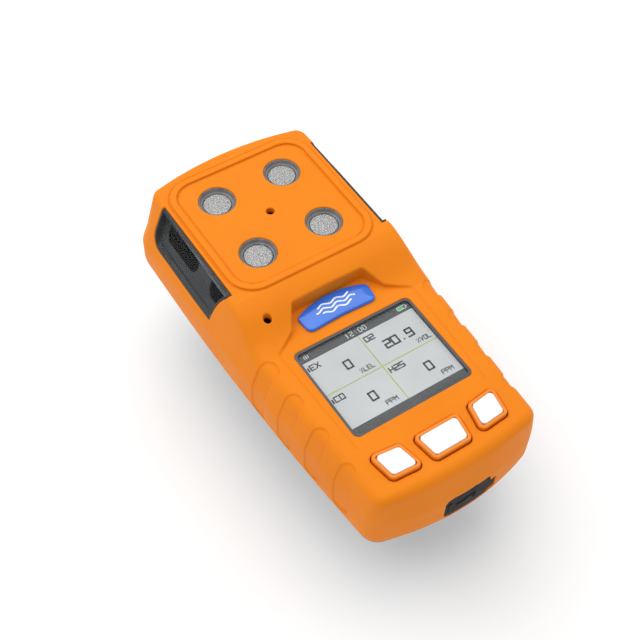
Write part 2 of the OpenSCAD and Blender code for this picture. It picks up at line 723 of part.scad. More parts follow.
module board_screw() {
    difference() {
        union() {
            cylinder(r = 1.8, h = 1.2);
            translate([0, 0, -6]) cylinder(r = 0.85, h = 6.5);
        }
        translate([0, 0, 0.5]) cylinder(r = 0.8, h = 1.5, $fn = 6);
    }
}

// ---- Belt clip ----
module clip_base() color("silver") difference() {
    union() {
        plate(rounded([[12, 2], [12, 33], [-12, 33], [-12, 2]], 2), rear_z - sheet_t, rear_z);
        for (s = [-1, 1]) {
            x_rod(2.4, s*ear_x - 0.5, s*ear_x + 0.5, pivot_y, pivot_z);
            translate([s*ear_x - 0.5, pivot_y - 2.4, pivot_z]) cube([1, 4.8, rear_z - pivot_z - 1]);
        }
    }
    x_rod(pin_r + 0.01, -20, 20, pivot_y, pivot_z);
    for (p = clip_screw_pts) translate([p[0], p[1], 0]) cylinder(r = 1.6, h = 20);
}

module clip_lever() color("silver") difference() {
    union() {
        plate(rounded([[lever_w/2, lever_tip_y], [lever_w/2, lever_thumb_y], [-lever_w/2, lever_thumb_y],
                       [-lever_w/2, lever_tip_y]], 1.1), 0, sheet_t);
        translate([-lever_w/2 + 1, lever_tip_y, 0]) cube([lever_w - 2, sheet_t, rear_z - 0.5]);
        for (s = [-1, 1]) {
            x_rod(2.4, s*9.3 - 0.5, s*9.3 + 0.5, pivot_y, pivot_z);
            translate([s*9.3 - 0.5, pivot_y - 2.4, sheet_t/2]) cube([1, 4.8, pivot_z - sheet_t/2]);
        }
    }
    x_rod(pin_r + fit, -20, 20, pivot_y, pivot_z);
    for (k = [-4:4]) translate([2*k, lever_tip_y - 1, rear_z - 0.5]) rotate([-90, 0, 0])
        cylinder(r = 0.6, h = 4, $fn = 24);
}

module clip_pin() color("silver") {
    x_rod(pin_r, -ear_x - 1.2, ear_x + 1.2, pivot_y, pivot_z);
    for (s = [-1, 1]) x_rod(1.7, s*(ear_x + 1) - 0.4, s*(ear_x + 1) + 0.4, pivot_y, pivot_z);
}

// Torsion spring: close-wound coil round the pin, one leg on each plate
module clip_spring() color("gray") {
    for (k = [-6:6]) translate([0.75*k, pivot_y, pivot_z]) rotate([0, 90, 0])
        rotate_extrude() translate([spring_r, 0]) circle(r = wire_r, $fn = 16);
    translate([4.5, pivot_y, pivot_z + spring_r]) rotate([-90, 0, 0]) cylinder(r = wire_r, h = 7);
    translate([-4.5, pivot_y, pivot_z - spring_r]) rotate([-90, 0, 0]) cylinder(r = wire_r, h = 9);
}

module clip_screws() color("gray") for (p = clip_screw_pts)
    translate([p[0], p[1], rear_z - sheet_t - 1.2]) difference() {
        union() {
            cylinder(r = 2.6, h = 1.2);
            cylinder(r = screw_r, h = 7);
        }
        translate([0, 0, -0.1]) cylinder(r = 1.2, h = 0.8, $fn = 6);
    }

module clip_inserts() color("goldenrod") for (p = clip_screw_pts)
    translate([p[0], p[1], rear_z + 0.1]) tube(insert_r, screw_r + fit, 5.5);

front_shell();
rear_shell();
shell_gasket();
gas_manifold();
cal_insert();
for (k = [1:4]) {
    port_filter(k);
    sensor_gasket(k);
    gas_sensor(k);
}
sensor_board();
main_board();
board_connector();
display_gasket();
display_window();
lcd_module();
badge();
key_cap(0);  // key_cap_left
key_cap(1);  // key_cap_middle
key_cap(2);  // key_cap_right
key_face(0);  // key_face_left
key_face(1);  // key_face_middle
key_face(2);  // key_face_right
key_membrane();
key_switches();
alarm_lens(-1);  // alarm_lens_left
alarm_lens(1);  // alarm_lens_right
reflector(-1);  // reflector_left
reflector(1);  // reflector_right
alarm_leds();
buzzer();
buzzer_gasket();
vibration_motor();
motor_weight();
battery_pack();
battery_foam();
usb_socket();
usb_board();
usb_door();
case_screws();
screw_inserts();
board_screws();
clip_base();
clip_lever();
clip_pin();
clip_spring();
clip_screws();
clip_inserts();
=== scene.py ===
"""Portable gas detector: its looks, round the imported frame. Shapes are in millimetres."""
import json
import math

import bpy
import numpy as np
from mathutils import Matrix, Vector

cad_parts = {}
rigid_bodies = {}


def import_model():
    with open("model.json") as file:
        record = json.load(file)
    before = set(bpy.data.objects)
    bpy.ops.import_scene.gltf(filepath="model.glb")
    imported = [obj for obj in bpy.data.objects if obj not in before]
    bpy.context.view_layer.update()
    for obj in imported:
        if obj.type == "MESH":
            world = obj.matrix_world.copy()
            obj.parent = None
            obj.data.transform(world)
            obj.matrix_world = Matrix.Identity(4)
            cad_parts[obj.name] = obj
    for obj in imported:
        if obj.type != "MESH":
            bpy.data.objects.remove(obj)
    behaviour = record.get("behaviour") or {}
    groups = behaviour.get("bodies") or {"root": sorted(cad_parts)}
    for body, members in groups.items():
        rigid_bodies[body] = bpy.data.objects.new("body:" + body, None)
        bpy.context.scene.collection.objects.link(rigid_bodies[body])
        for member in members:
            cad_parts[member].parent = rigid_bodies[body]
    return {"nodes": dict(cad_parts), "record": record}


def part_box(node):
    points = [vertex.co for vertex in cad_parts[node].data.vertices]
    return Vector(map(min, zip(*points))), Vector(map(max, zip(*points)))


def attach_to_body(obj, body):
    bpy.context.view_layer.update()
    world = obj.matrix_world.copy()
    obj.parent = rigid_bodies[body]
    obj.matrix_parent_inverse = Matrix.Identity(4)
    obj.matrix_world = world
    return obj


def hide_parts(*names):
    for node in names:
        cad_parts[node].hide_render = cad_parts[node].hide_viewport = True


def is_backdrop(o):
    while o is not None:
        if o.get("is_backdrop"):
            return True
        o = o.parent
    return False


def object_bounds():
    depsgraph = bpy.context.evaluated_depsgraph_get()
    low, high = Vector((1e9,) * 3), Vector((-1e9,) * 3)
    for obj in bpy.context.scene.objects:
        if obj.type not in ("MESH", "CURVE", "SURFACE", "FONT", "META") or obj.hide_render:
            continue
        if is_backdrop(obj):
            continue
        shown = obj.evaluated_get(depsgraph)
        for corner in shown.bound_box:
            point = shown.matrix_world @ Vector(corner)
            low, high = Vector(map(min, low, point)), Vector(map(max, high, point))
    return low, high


for left_over in list(bpy.data.objects):
    bpy.data.objects.remove(left_over)
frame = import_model()
cad_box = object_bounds()
MM = 0.001


def box_mm(node):
    """Two corners of a CAD node's box, in millimetres."""
    lo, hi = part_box(node)
    return np.array(lo)*1000, np.array(hi)*1000


# ---- Driving dimensions, in millimetres ----
SHELL_LO, SHELL_HI = box_mm("front_shell")
BEAD_H = 0.6  # the square bead round the ports
HEAD_Z = SHELL_HI[2] - BEAD_H  # front face of the sensor head
REAR_Z = box_mm("rear_shell")[0][2]  # rear face
TOP_Y = SHELL_HI[1]
BODY_W = SHELL_HI[0] - SHELL_LO[0]
HEAD_Y = np.mean([b[1] for b in box_mm("cal_insert")])
KEY_RISE = 1  # key caps above the display face
LOW_Z = box_mm("key_cap_middle")[1][2] - KEY_RISE  # display face
RECESS_Z = LOW_Z - 0.4
WALL = 2.2
INNER_Z = LOW_Z - WALL  # inside of the display face
SEAL_LO, SEAL_HI = (b[2] for b in box_mm("shell_gasket"))
PORTS = [(lo + hi)/2 for lo, hi in (box_mm(f"port_filter_{k}") for k in range(1, 5))]
PORTS_MIDDLE = (0, HEAD_Y)
PORT_R = 5.7
BEAD_W = 48.8
WINDOW_X = 26  # inner edge of the alarm windows
WINDOW_TOP_Y = HEAD_Y + 18.2
WINDOW_LOW_Y = HEAD_Y - 21.5
WINDOW_OUTER_Y = HEAD_Y - 17.4
WINDOW_Z = HEAD_Z - 12.6
DISPLAY_Y = HEAD_Y - 59.86
DISPLAY_SIZE = (39.9, 32.3)
LCD_Z = LOW_Z - 1.5
DOOR_LO, DOOR_HI = box_mm("usb_door")
DOOR_T = 1.5
HINGE_X = DOOR_HI[0]
DOOR_X = 1.45
DOOR_W = 15.1
DOOR_MID_Z = (DOOR_LO[2] + DOOR_HI[2])/2
STRAP_Z = (19.6, 24.5)
PIVOT_Y, PIVOT_Z = 18, 4


# ---- Distance fields: negative inside, in millimetres ----
def both(a, b, r=0):
    """Inside a and b, with the edge between them rounded to r."""
    if np.isscalar(r) and r == 0:
        return np.maximum(a, b)
    return np.minimum(np.maximum(a, b), -r) + np.hypot(np.maximum(a + r, 0), np.maximum(b + r, 0))


def either(a, b, r=0):
    """Inside a or b, with a fillet of radius r between them."""
    return -both(-a, -b, r)


def without(a, b, r=0):
    """Inside a but not b."""
    return both(a, -b, r)


def between(t, lo, hi):
    return np.maximum(lo - t, t - hi)


def block(p, lo, hi, r=0):
    """Box with rounded edges. lo and hi hold as many coordinates as p."""
    q = [np.abs(c - (a + b)/2) - (b - a)/2 + r for c, a, b in zip(p, lo, hi)]
    outside = np.sqrt(sum(np.maximum(c, 0)**2 for c in q))
    inside = q[0]
    for c in q[1:]:
        inside = np.maximum(inside, c)
    return outside + np.minimum(inside, 0) - r


def polygon(points, u, v, r=0):
    """Distance to a polygon whose corners are rounded to r."""
    pts = shrunk(points, r) if r else np.asarray(points, float)
    best = None
    inside = np.zeros(np.broadcast(u, v).shape, bool)
    for a, b in zip(pts, np.roll(pts, -1, axis=0)):
        e = b - a
        wu, wv = u - a[0], v - a[1]
        t = np.clip((wu*e[0] + wv*e[1])/(e @ e), 0, 1)
        d2 = (wu - e[0]*t)**2 + (wv - e[1]*t)**2
        best = d2 if best is None else np.minimum(best, d2)
        crosses = (a[1] > v) != (b[1] > v)
        if a[1] != b[1]:
            inside ^= crosses & (u < (b[0] - a[0])*(v - a[1])/(b[1] - a[1]) + a[0])
    return np.where(inside, -1, 1)*np.sqrt(best) - r


def shrunk(points, r):
    """Anticlockwise polygon with every side moved inwards by r."""
    pts = np.asarray(points, float)
    to_next = np.roll(pts, -1, axis=0) - pts
    to_next /= np.linalg.norm(to_next, axis=1)[:, None]
    normals = np.stack([to_next[:, 1], -to_next[:, 0]], axis=1)
    before = np.roll(normals, 1, axis=0)
    return pts - r*(before + normals)/(1 + np.sum(before*normals, axis=1))[:, None]


def round_rod(p, axis, centre, r, lo, hi, edge=0):
    """Cylinder along an axis from lo to hi. centre holds the other two coordinates."""
    others = [c for k, c in enumerate(p) if k != axis]
    radial = np.hypot(others[0] - centre[0], others[1] - centre[1]) - r
    return both(radial, between(p[axis], lo, hi), edge)


def upright(at, r, z0, z1, edge=0):
    """Field of a cylinder along z."""
    return lambda p: round_rod(p, 2, at, r, z0, z1, edge)


def around(at, reach, z0, z1):
    """Corners of a square upright box round a place."""
    return (at[0] - reach, at[1] - reach, z0), (at[0] + reach, at[1] + reach, z1)


def locally(d, p, lo, hi, change):
    """Sets d to change(d, p) inside the box from lo to hi."""
    if d.ndim == 1:
        inside = np.ones(d.shape, bool)
        for c, a, b in zip(p, lo, hi):
            inside &= (c >= a) & (c <= b)
        if inside.any():
            d[inside] = change(d[inside], [c[inside] for c in p])
        return
    cut = tuple(slice(*np.searchsorted(c.ravel(), [a, b])) for c, a, b in zip(p, lo, hi))
    if all(s.stop > s.start for s in cut):
        d[cut] = change(d[cut], [p[0][cut[0]], p[1][:, cut[1]], p[2][:, :, cut[2]]])


MARGIN = 1.5


def carve(d, p, lo, hi, shape, edge=0):
    """Cuts shape(p) out of d. lo and hi bound the shape."""
    box = np.subtract(lo, MARGIN), np.add(hi, MARGIN)
    locally(d, p, *box, lambda e, q: without(e, shape(q), edge))


def attach(d, p, lo, hi, shape, fillet=0):
    """Adds shape(p) to d."""
    box = np.subtract(lo, MARGIN), np.add(hi, MARGIN)
    locally(d, p, *box, lambda e, q: either(e, shape(q), fillet))


# ---- The body's outer form ----
WAIST_Z = 30
END_WAIST_Z = 27
LOW_WAIST = (18.2, 23)
SLOPE_Y = (HEAD_Y - 42, HEAD_Y - 25)
LOW_EDGE_R, HEAD_EDGE_R, REAR_EDGE_R = 2.4, 1.2, 3
FLANK_LEAN = 0.36  # inwards for each millimetre above the waist, most at the shoulder
WAIST_LEAN_LOSS = 0.055
HEAD_LEAN_GAIN = 0.12
SHOULDER_Y = HEAD_Y - 23
TAILS = [(HEAD_Y - 60, 0.004), (HEAD_Y - 81, 0.005)]  # steeper flanks towards the bottom end
FLANK_ARC = 1660
REAR_LEAN = 0.36
END_LEAN, END_REAR_LEAN, TOP_LEAN = 0.235, 0.45, 0.15
END_ARC_R, TOP_ARC_R = 80, 102
END_FLATTENING = 0.00056  # curvature that the bottom end loses per millimetre above its waist
END_CORNER_R = 3


def soft_ramp(t, softness=0.8):
    """0 below zero and t above it, with a soft turn, and its slope."""
    root = np.sqrt(t*t + softness*softness)
    return (t + root)/2, (1 + t/root)/2


def head_share(y):
    """0 on the display face, 1 on the head, a soft slope between them, and its rate."""
    t = np.clip((y - SLOPE_Y[0])/(SLOPE_Y[1] - SLOPE_Y[0]), 0, 1)
    share = t - 0.5*np.sin(2*np.pi*t)/(2*np.pi)
    rate = np.where((t > 0) & (t < 1), (1 - 0.5*np.cos(2*np.pi*t))/(SLOPE_Y[1] - SLOPE_Y[0]), 0)
    return share, rate


def flank_lean(y):
    lean = FLANK_LEAN - WAIST_LEAN_LOSS*np.clip(1 - (SHOULDER_Y - y)/22, 0, 1)
    for start, steepening in TAILS:
        lean = lean - steepening*np.maximum(0, start - y)
    return lean + HEAD_LEAN_GAIN*np.clip((y - SHOULDER_Y)/48, 0, 1)


def flank_half_width(y, z):
    """Half the body's width, and how it changes with height."""
    up, up_rate = soft_ramp(z - WAIST_Z)
    low = LOW_WAIST[0] + (LOW_WAIST[1] - LOW_WAIST[0])*(y + TOP_Y)/(2*TOP_Y)
    down, down_rate = soft_ramp(low - z)
    lean = flank_lean(y)
    width = BODY_W/2 - np.minimum(0, y - HEAD_Y)**2/FLANK_ARC - lean*up - REAR_LEAN*down
    return width, REAR_LEAN*down_rate - lean*up_rate


def bottom_end(x, y, z):
    """Distance beyond the bottom end's arched face."""
    up, up_rate = soft_ramp(z - END_WAIST_Z)
    down, down_rate = soft_ramp(LOW_WAIST[0] - z)
    end_y = -TOP_Y + END_LEAN*up + END_REAR_LEAN*down
    arc = 1/(1/END_ARC_R - END_FLATTENING*up)
    slope = END_LEAN*up_rate - END_REAR_LEAN*down_rate
    return (np.hypot(x, y - end_y - arc) - arc)/np.sqrt(1 + slope**2)


def top_end(x, y, z):
    up, up_rate = soft_ramp(z - WAIST_Z)
    down, down_rate = soft_ramp(LOW_WAIST[1] - z)
    end_y = TOP_Y - TOP_LEAN*up - REAR_LEAN*down
    slope = REAR_LEAN*down_rate - TOP_LEAN*up_rate
    return (np.hypot(x, y - end_y + TOP_ARC_R) - TOP_ARC_R)/np.sqrt(1 + slope**2)


def body(p):
    x, y, z = p
    width, lean = flank_half_width(y, z)
    flank = (np.abs(x) - width)/np.sqrt(1 + lean*lean)
    corner = np.clip(2 + 0.3*(HEAD_Z - z), 2, 5.5)
    plan = both(both(flank, top_end(x, y, z), corner), bottom_end(x, y, z), END_CORNER_R)
    share, rate = head_share(y)
    rise = HEAD_Z - LOW_Z
    front = (z - LOW_Z - rise*share)/np.sqrt(1 + (rise*rate)**2)
    edge = LOW_EDGE_R + (HEAD_EDGE_R - LOW_EDGE_R)*share
    return both(both(plan, front, edge), REAR_Z - z, REAR_EDGE_R)


# ---- Outlines, anticlockwise ----
def mirrored(points):
    return [(-u, v) for u, v in reversed(points)]


RECESS_RIGHT = [(21.5, HEAD_Y - 80), (23.2, HEAD_Y - 42), (16, HEAD_Y - 37.6), (12.2, HEAD_Y - 31.2)]
RECESS = RECESS_RIGHT + [(0, HEAD_Y - 31)] + mirrored(RECESS_RIGHT)
SIDE_KEY = [(11.1, HEAD_Y - 91.15), (18.2, HEAD_Y - 90.6), (19.3, HEAD_Y - 84.05), (12.4, HEAD_Y - 84.85)]
MIDDLE_KEY = [(5, HEAD_Y - 91.8), (6, HEAD_Y - 85.4), (-6, HEAD_Y - 85.4), (-5, HEAD_Y - 91.8)]
KEYS = {"left": mirrored(SIDE_KEY), "middle": MIDDLE_KEY, "right": SIDE_KEY}
CAP_BORDER = 1.35
KEY_GAP = 0.35
FACE_GROWTH = 0.25
GRIP_YS = [HEAD_Y - 45 - 12.6*k for k in range(4)]
SOUNDER = (-20.8, HEAD_Y - 32.1)
CASE_SCREWS = [(22.5, TOP_Y - 14), (-22.5, TOP_Y - 14), (17.5, 14 - TOP_Y), (-17.5, 14 - TOP_Y)]
BOARD_SCREWS = [(19.5, 13), (-19.5, 13), (15.5, 56.6), (-15.5, 56.6)]
MAIN_SCREWS = [(13, -3), (-13, -3), (9, -46.2), (-9, -46.2)]
BOSS_Z, GUSSET_TURNS = (14, 22.5), (45, 135, 0, 180)  # the front shell's bosses round the case screws
MAIN_POST_Z = 31.1
CLIP_SCREWS = [(6.5, 28), (-6.5, 28), (0, 7)]


def bend(start, pull, end, count):
    """Points of a curve that leaves start towards pull and turns to end."""
    a, b, c = map(np.array, (start, pull, end))
    return [tuple((1 - t)**2*a + 2*t*(1 - t)*b + t*t*c) for t in np.linspace(0, 1, count)]


def window_profile(y, z, grow=0):
    """Side view of an alarm window's opening."""
    corner = 5
    low_end = [(WINDOW_LOW_Y, HEAD_Z - 0.5), (WINDOW_LOW_Y + 3.5, HEAD_Z - 4.5), (WINDOW_OUTER_Y, WINDOW_Z)]
    points = [(WINDOW_TOP_Y, WINDOW_Z), (WINDOW_TOP_Y, HEAD_Z + 6), (WINDOW_LOW_Y, HEAD_Z + 6)]
    sharp = polygon(points + bend(*low_end, 7), y, z)
    arc = both(y - WINDOW_TOP_Y, WINDOW_Z - z, corner)
    return np.maximum(sharp, arc) - grow


def window(p, grow=0):
    return np.maximum(WINDOW_X - grow - np.abs(p[0]), window_profile(p[1], p[2], grow))


def door_outline(x, z):
    """Front view of the socket door with its hinge strap."""
    plate = block((x, z), (DOOR_X - DOOR_W/2, DOOR_LO[2]), (DOOR_X + DOOR_W/2, DOOR_HI[2]), 1.8)
    strap = block((x, z), (DOOR_X + DOOR_W/2 - 2, STRAP_Z[0]), (HINGE_X, STRAP_Z[1]), 0.4)
    return either(plate, strap, 0.4)


GRIP_W = 6.4
GRIP_END_X = 25.4


def grip(p, y0):
    """Finger groove with round ends along the flank, deeper on the bottom end's side."""
    x, along, z = np.abs(p[0]), p[1] - y0, p[2]
    half = GRIP_W/2
    on_face = np.hypot(along, np.minimum(x - GRIP_END_X - half, 0)) - half
    on_flank = np.hypot(along, np.minimum(z - SEAL_HI - 2.5 - half, 0)) - half
    depth = 0.5 - 0.16*np.clip(along/half, -1, 1)
    return both(np.maximum(on_face, on_flank), -body(p) - depth, 0.4)


def front_shell(p):
    x, y, z = p
    d = body(p)
    pad = np.maximum(polygon(RECESS, x, y) - 2, INNER_Z - z)
    d = without(d, without(d + WALL, pad))
    for at, out in zip(CASE_SCREWS, GUSSET_TURNS):
        cos, sin = math.cos(math.radians(out)), math.sin(math.radians(out))

        def boss(q):
            u = (q[0] - at[0])*cos + (q[1] - at[1])*sin
            v = (q[1] - at[1])*cos - (q[0] - at[0])*sin
            gusset = block((u, v, q[2]), (0, -1, BOSS_Z[0]), (8.8, 1, BOSS_Z[1]))
            return either(upright(at, 3.2, *BOSS_Z, 0.3)(q), gusset, 0.3)

        attach(d, p, *around(at, 10, *BOSS_Z), boss, 0.3)
    for at in MAIN_SCREWS:
        attach(d, p, *around(at, 2, MAIN_POST_Z, 37.5), upright(at, 1.8, MAIN_POST_Z, 37.7), 0.3)
        carve(d, p, *around(at, 1, 30, 35.6), upright(at, 0.9, 30, 35.6))
    d = np.maximum(d, SEAL_HI - z)

    def square(q):
        return block(q[:2], (-BEAD_W/2, HEAD_Y - BEAD_W/2), (BEAD_W/2, HEAD_Y + BEAD_W/2), 8.6)

    def bead(e, q):
        ring = np.abs(square(q) + 1.1) - 1.1
        e = either(e, both(ring, q[2] - HEAD_Z - BEAD_H + 0.03, 0.5), 0.15)
        beside = np.minimum(np.abs(square(q) - 0.2), np.abs(square(q) + 2.4))
        return without(e, np.hypot(beside, q[2] - HEAD_Z - 0.05) - 0.3, 0.1)

    locally(d, p, (-27, HEAD_Y - 27, HEAD_Z - 2), (27, HEAD_Y + 27, HEAD_Z + 2), bead)
    for side in (-1, 1):
        lo, hi = sorted((side*WINDOW_X, side*40))
        carve(d, p, (lo, WINDOW_LOW_Y, WINDOW_Z), (hi, WINDOW_TOP_Y, HEAD_Z + 2), window, 0.35)
        for gy in GRIP_YS:
            lo, hi = sorted((side*24, side*40))
            carve(d, p, (lo, gy - 6, SEAL_HI), (hi, gy + 6, HEAD_Z), lambda q: grip(q, gy), 0.12)
    for port in PORTS:
        at = port[:2]
        carve(d, p, *around(at, 6, HEAD_Z - 3, HEAD_Z + 2), upright(at, PORT_R, HEAD_Z - 4, HEAD_Z + 4), 0.3)
    for at, r, z0 in [(PORTS_MIDDLE, 1.3, HEAD_Z - 4), (SOUNDER, 1.25, LOW_Z)]:
        carve(d, p, *around(at, 2, z0, HEAD_Z + 2), upright(at, r, z0, HEAD_Z + 4), 0.3)

    def recess(q):
        return both(polygon(RECESS, q[0], q[1], 1.5), RECESS_Z - q[2], 0.5)

    carve(d, p, (-26, HEAD_Y - 82, RECESS_Z), (26, HEAD_Y - 27, HEAD_Z + 2), recess, 0.45)
    half = np.array(DISPLAY_SIZE)/2
    lo, hi = np.array([0, DISPLAY_Y]) - half, np.array([0, DISPLAY_Y]) + half
    carve(d, p, (*lo, INNER_Z - 1), (*hi, LOW_Z + 1), lambda q: block(q[:2], lo, hi, 2), 0.25)
    for outline in KEYS.values():
        pts = np.array(outline)
        carve(d, p, (*(pts.min(0) - 2), INNER_Z - 1), (*(pts.max(0) + 2), LOW_Z + 1),
              lambda q: polygon(outline, q[0], q[1], 0.3) - CAP_BORDER - KEY_GAP, 0.35)

    def door_seat(q):
        return np.maximum(door_outline(q[0], q[2]) - 0.25, -bottom_end(*q) - DOOR_T - 0.1)

    carve(d, p, (-8, -TOP_Y - 1, DOOR_LO[2]), (13, -TOP_Y + 4, DOOR_HI[2]), door_seat, 0.25)
    mid = DOOR_MID_Z

    def socket_opening(q):
        return block((q[0], q[2]), (DOOR_X - 5.5, mid - 3.1), (DOOR_X + 5.5, mid + 3.1), 1.2)

    carve(d, p, (-5, -TOP_Y, mid - 4), (8, -TOP_Y + 6, mid + 4), socket_opening, 0.15)
    for at in CASE_SCREWS:
        carve(d, p, *around(at, 2, SEAL_LO, 22), upright(at, 2, 14, 22))
    return d


def rear_shell(p):
    x, y, z = p
    outer = body(p)
    d = np.maximum(without(outer, outer + WALL), z - SEAL_LO)
    usb = [(DOOR_X - 7.5, 15.4 - TOP_Y), (DOOR_X + 7.5, 15.4 - TOP_Y)]
    posts = [(c, 3.8, SEAL_LO) for c in CASE_SCREWS] + [(c, 2.4, 21.4) for c in BOARD_SCREWS]
    posts += [(c, 3.2, REAR_Z + 7) for c in CLIP_SCREWS]
    posts += [(c, 1.6, 19.5) for c in usb] + [(c, 0.8, 21.7) for c in usb]
    for at, r, top in posts:
        attach(d, p, *around(at, r, REAR_Z + 1, top), upright(at, r, REAR_Z + 1, top, 0.2), 0.4)
    ribs = [((s*21 - 0.6, -43, REAR_Z + 1), (s*21 + 0.6, -3, REAR_Z + 7)) for s in (-1, 1)]
    ribs.append(((-16, -48.5, REAR_Z + 1), (16, -47.3, REAR_Z + 7)))
    for lo, hi in ribs:
        attach(d, p, lo, hi, lambda q: block(q, lo, hi, 0.3), 0.4)
    cradle = ((-9, 39.4, REAR_Z + 1), (-1, 48.6, 15.4))

    def motor_seat(q):
        return without(block(q, *cradle, 0.2), round_rod(q, 0, (44, 15.4), 3.5, -20, 20))

    attach(d, p, *cradle, motor_seat, 0.3)
    for at in CASE_SCREWS:
        head, shank = upright(at, 2.7, REAR_Z - 3, REAR_Z + 3), upright(at, 1.5, REAR_Z, 20)
        carve(d, p, *around(at, 2.7, REAR_Z - 1, SEAL_LO + 1),
              lambda q: np.minimum(head(q), shank(q)), 0.25)
    for at in BOARD_SCREWS:
        carve(d, p, *around(at, 1, REAR_Z + 6, 22), upright(at, 0.9, REAR_Z + 6, 24), 0.1)
    for at in CLIP_SCREWS:
        carve(d, p, *around(at, 2, REAR_Z - 1, REAR_Z + 6), upright(at, 2, REAR_Z - 3, REAR_Z + 6), 0.2)
    return d


# ---- Meshes from distance fields ----
SLAB = 48  # layers of the grid that are worked out at a time


def contour(field, lo, hi, step):
    """Points and quads where field is zero, by dual contouring on an even grid."""
    counts = [math.ceil((b - a)/step) + 1 for a, b in zip(lo, hi)]
    axes = np.ix_(*[(a + step*np.arange(n)).astype(np.float32) for a, n in zip(lo, counts)])
    values = np.empty(counts, np.float32)
    for i in range(0, counts[0], SLAB):
        values[i:i + SLAB] = field([axes[0][i:i + SLAB], axes[1], axes[2]])
    points, rows, flips = [], [], []
    for a in range(3):
        turned = np.moveaxis(values, a, 0)
        near, far = turned[:-1], turned[1:]
        hit = np.argwhere((near < 0) != (far < 0))
        s0, s1 = near[tuple(hit.T)], far[tuple(hit.T)]
        spot = hit.astype(float)
        spot[:, 0] += s0/(s0 - s1)
        order = np.argsort([a] + [k for k in range(3) if k != a])
        spot, hit = spot[:, order], hit[:, order]
        points.append(np.asarray(lo) + step*spot)
        rows.append(hit)
        flips.append(s0 > 0)
    normals = [gradient(field, p) for p in points]
    flat = []
    for a, (u, v) in enumerate([(1, 2), (2, 0), (0, 1)]):
        ring = []
        for du, dv in [(-1, -1), (0, -1), (0, 0), (-1, 0)]:
            cell = rows[a].copy()
            cell[:, u] += du
            cell[:, v] += dv
            ring.append(np.ravel_multi_index(cell.T, counts))
        flat.append(np.stack(ring, axis=1))
    used, index = np.unique(np.concatenate([f.ravel() for f in flat]), return_inverse=True)
    index = index.reshape(-1)
    hits = np.concatenate([np.repeat(p, 4, axis=0) for p in points])
    slopes = np.concatenate([np.repeat(n, 4, axis=0) for n in normals])
    count = np.bincount(index)
    mean = np.stack([np.bincount(index, hits[:, k]) for k in range(3)], axis=1)/count[:, None]
    offset = np.einsum("ij,ij->i", slopes, hits - mean[index])
    pull = 0.06*count
    system = np.empty((len(used), 3, 3))
    for j in range(3):
        for k in range(3):
            system[:, j, k] = np.bincount(index, slopes[:, j]*slopes[:, k]) + (pull if j == k else 0)
    right = np.stack([np.bincount(index, slopes[:, k]*offset) for k in range(3)], axis=1)
    cells = np.stack(np.unravel_index(used, counts), axis=1)
    low = np.asarray(lo) + step*cells
    moved = mean + np.linalg.solve(system, right[..., None])[..., 0]
    spots = np.clip(moved, low - 0.1*step, low + 1.1*step)
    quads, start = [], 0
    for f, flip in zip(flat, flips):
        quad = index[start:start + f.size].reshape(-1, 4)
        quad[flip] = quad[flip][:, ::-1]
        quads.append(quad)
        start += f.size
    return spots, np.concatenate(quads)


def gradient(field, points, reach=0.02):
    """Unit normals of a distance field."""
    slope = np.empty((len(points), 3))
    for k in range(3):
        ends = []
        for sign in (-1, 1):
            moved = [points[:, j] + (sign*reach if j == k else 0) for j in range(3)]
            ends.append(field(moved))
        slope[:, k] = ends[1] - ends[0]
    return slope/np.maximum(np.linalg.norm(slope, axis=1), 1e-9)[:, None]


def settle(obj, slot, nodes=(), body_name="housing", material=None):
    """Gives a piece its body and its material, by its record slot unless one is given, and hides the nodes
    that it stands for.
    """
    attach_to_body(obj, body_name)
    if nodes:
        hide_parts(*nodes)
    obj.data.materials.append(material or MATERIALS[slot])


def linked(name, data):
    obj = bpy.data.objects.new(name, data)
    bpy.context.collection.objects.link(obj)
    return obj


def mesh_object(name, points, faces, flat=True):
    mesh = bpy.data.meshes.new(name)
    mesh.from_pydata(np.asarray(points)*MM, [], faces, shade_flat=flat)
    mesh.validate()
    return linked(name, mesh)


def made_mesh(obj):
    """New mesh of what an object's modifiers or curve settings make of it."""
    return bpy.data.meshes.new_from_object(obj.evaluated_get(bpy.context.evaluated_depsgraph_get()))


def piece(name, field, lo, hi, step, nodes, slot, body_name="housing", material=None, keep=1, copies=()):
    """A piece whose surface is where field is zero, or a copy of that at each offset in copies.
    keep is the share of triangles that stay."""
    pad = 1.3*step
    points, quads = contour(field, np.subtract(lo, pad), np.add(hi, pad), step)
    obj = mesh_object(name, points, quads, flat=False)
    if keep < 1:
        thin = obj.modifiers.new("thin", "DECIMATE")
        thin.ratio = keep
        thinned = made_mesh(obj)
        obj.modifiers.clear()
        obj.data = thinned
    mesh = obj.data
    mesh.shade_smooth()
    spots = np.empty(len(mesh.vertices)*3, np.float32)
    mesh.vertices.foreach_get("co", spots)
    spots = spots.reshape(-1, 3)
    normals = gradient(field, spots.astype(float)/MM, 0.05)
    if copies:
        n = len(spots)
        points = np.concatenate([spots/MM + np.asarray(c) for c in copies])
        faces = [tuple(i + n*k for i in f.vertices) for k in range(len(copies)) for f in mesh.polygons]
        bpy.data.objects.remove(obj)
        obj = mesh_object(name, points, faces)
        obj.data.shade_smooth()
        normals = np.tile(normals, (len(copies), 1))
    obj.data.normals_split_custom_set_from_vertices(normals)
    settle(obj, slot, nodes, body_name, material)


# ---- Materials ----
def rgb(r, g, b):
    """Linear colour from a display colour of 0 to 255."""
    return tuple((c/255/12.92 if c <= 10 else ((c/255 + 0.055)/1.055)**2.4) for c in (r, g, b)) + (1,)


def new_node(tree, kind, inputs={}, **settings):
    """A shader node. inputs holds values, or sockets to link to."""
    node = tree.nodes.new("ShaderNode" + kind)
    for key, value in settings.items():
        setattr(node, key, value)
    for key, value in inputs.items():
        if isinstance(value, bpy.types.NodeSocket):
            tree.links.new(value, node.inputs[key])
        else:
            node.inputs[key].default_value = value
    return node


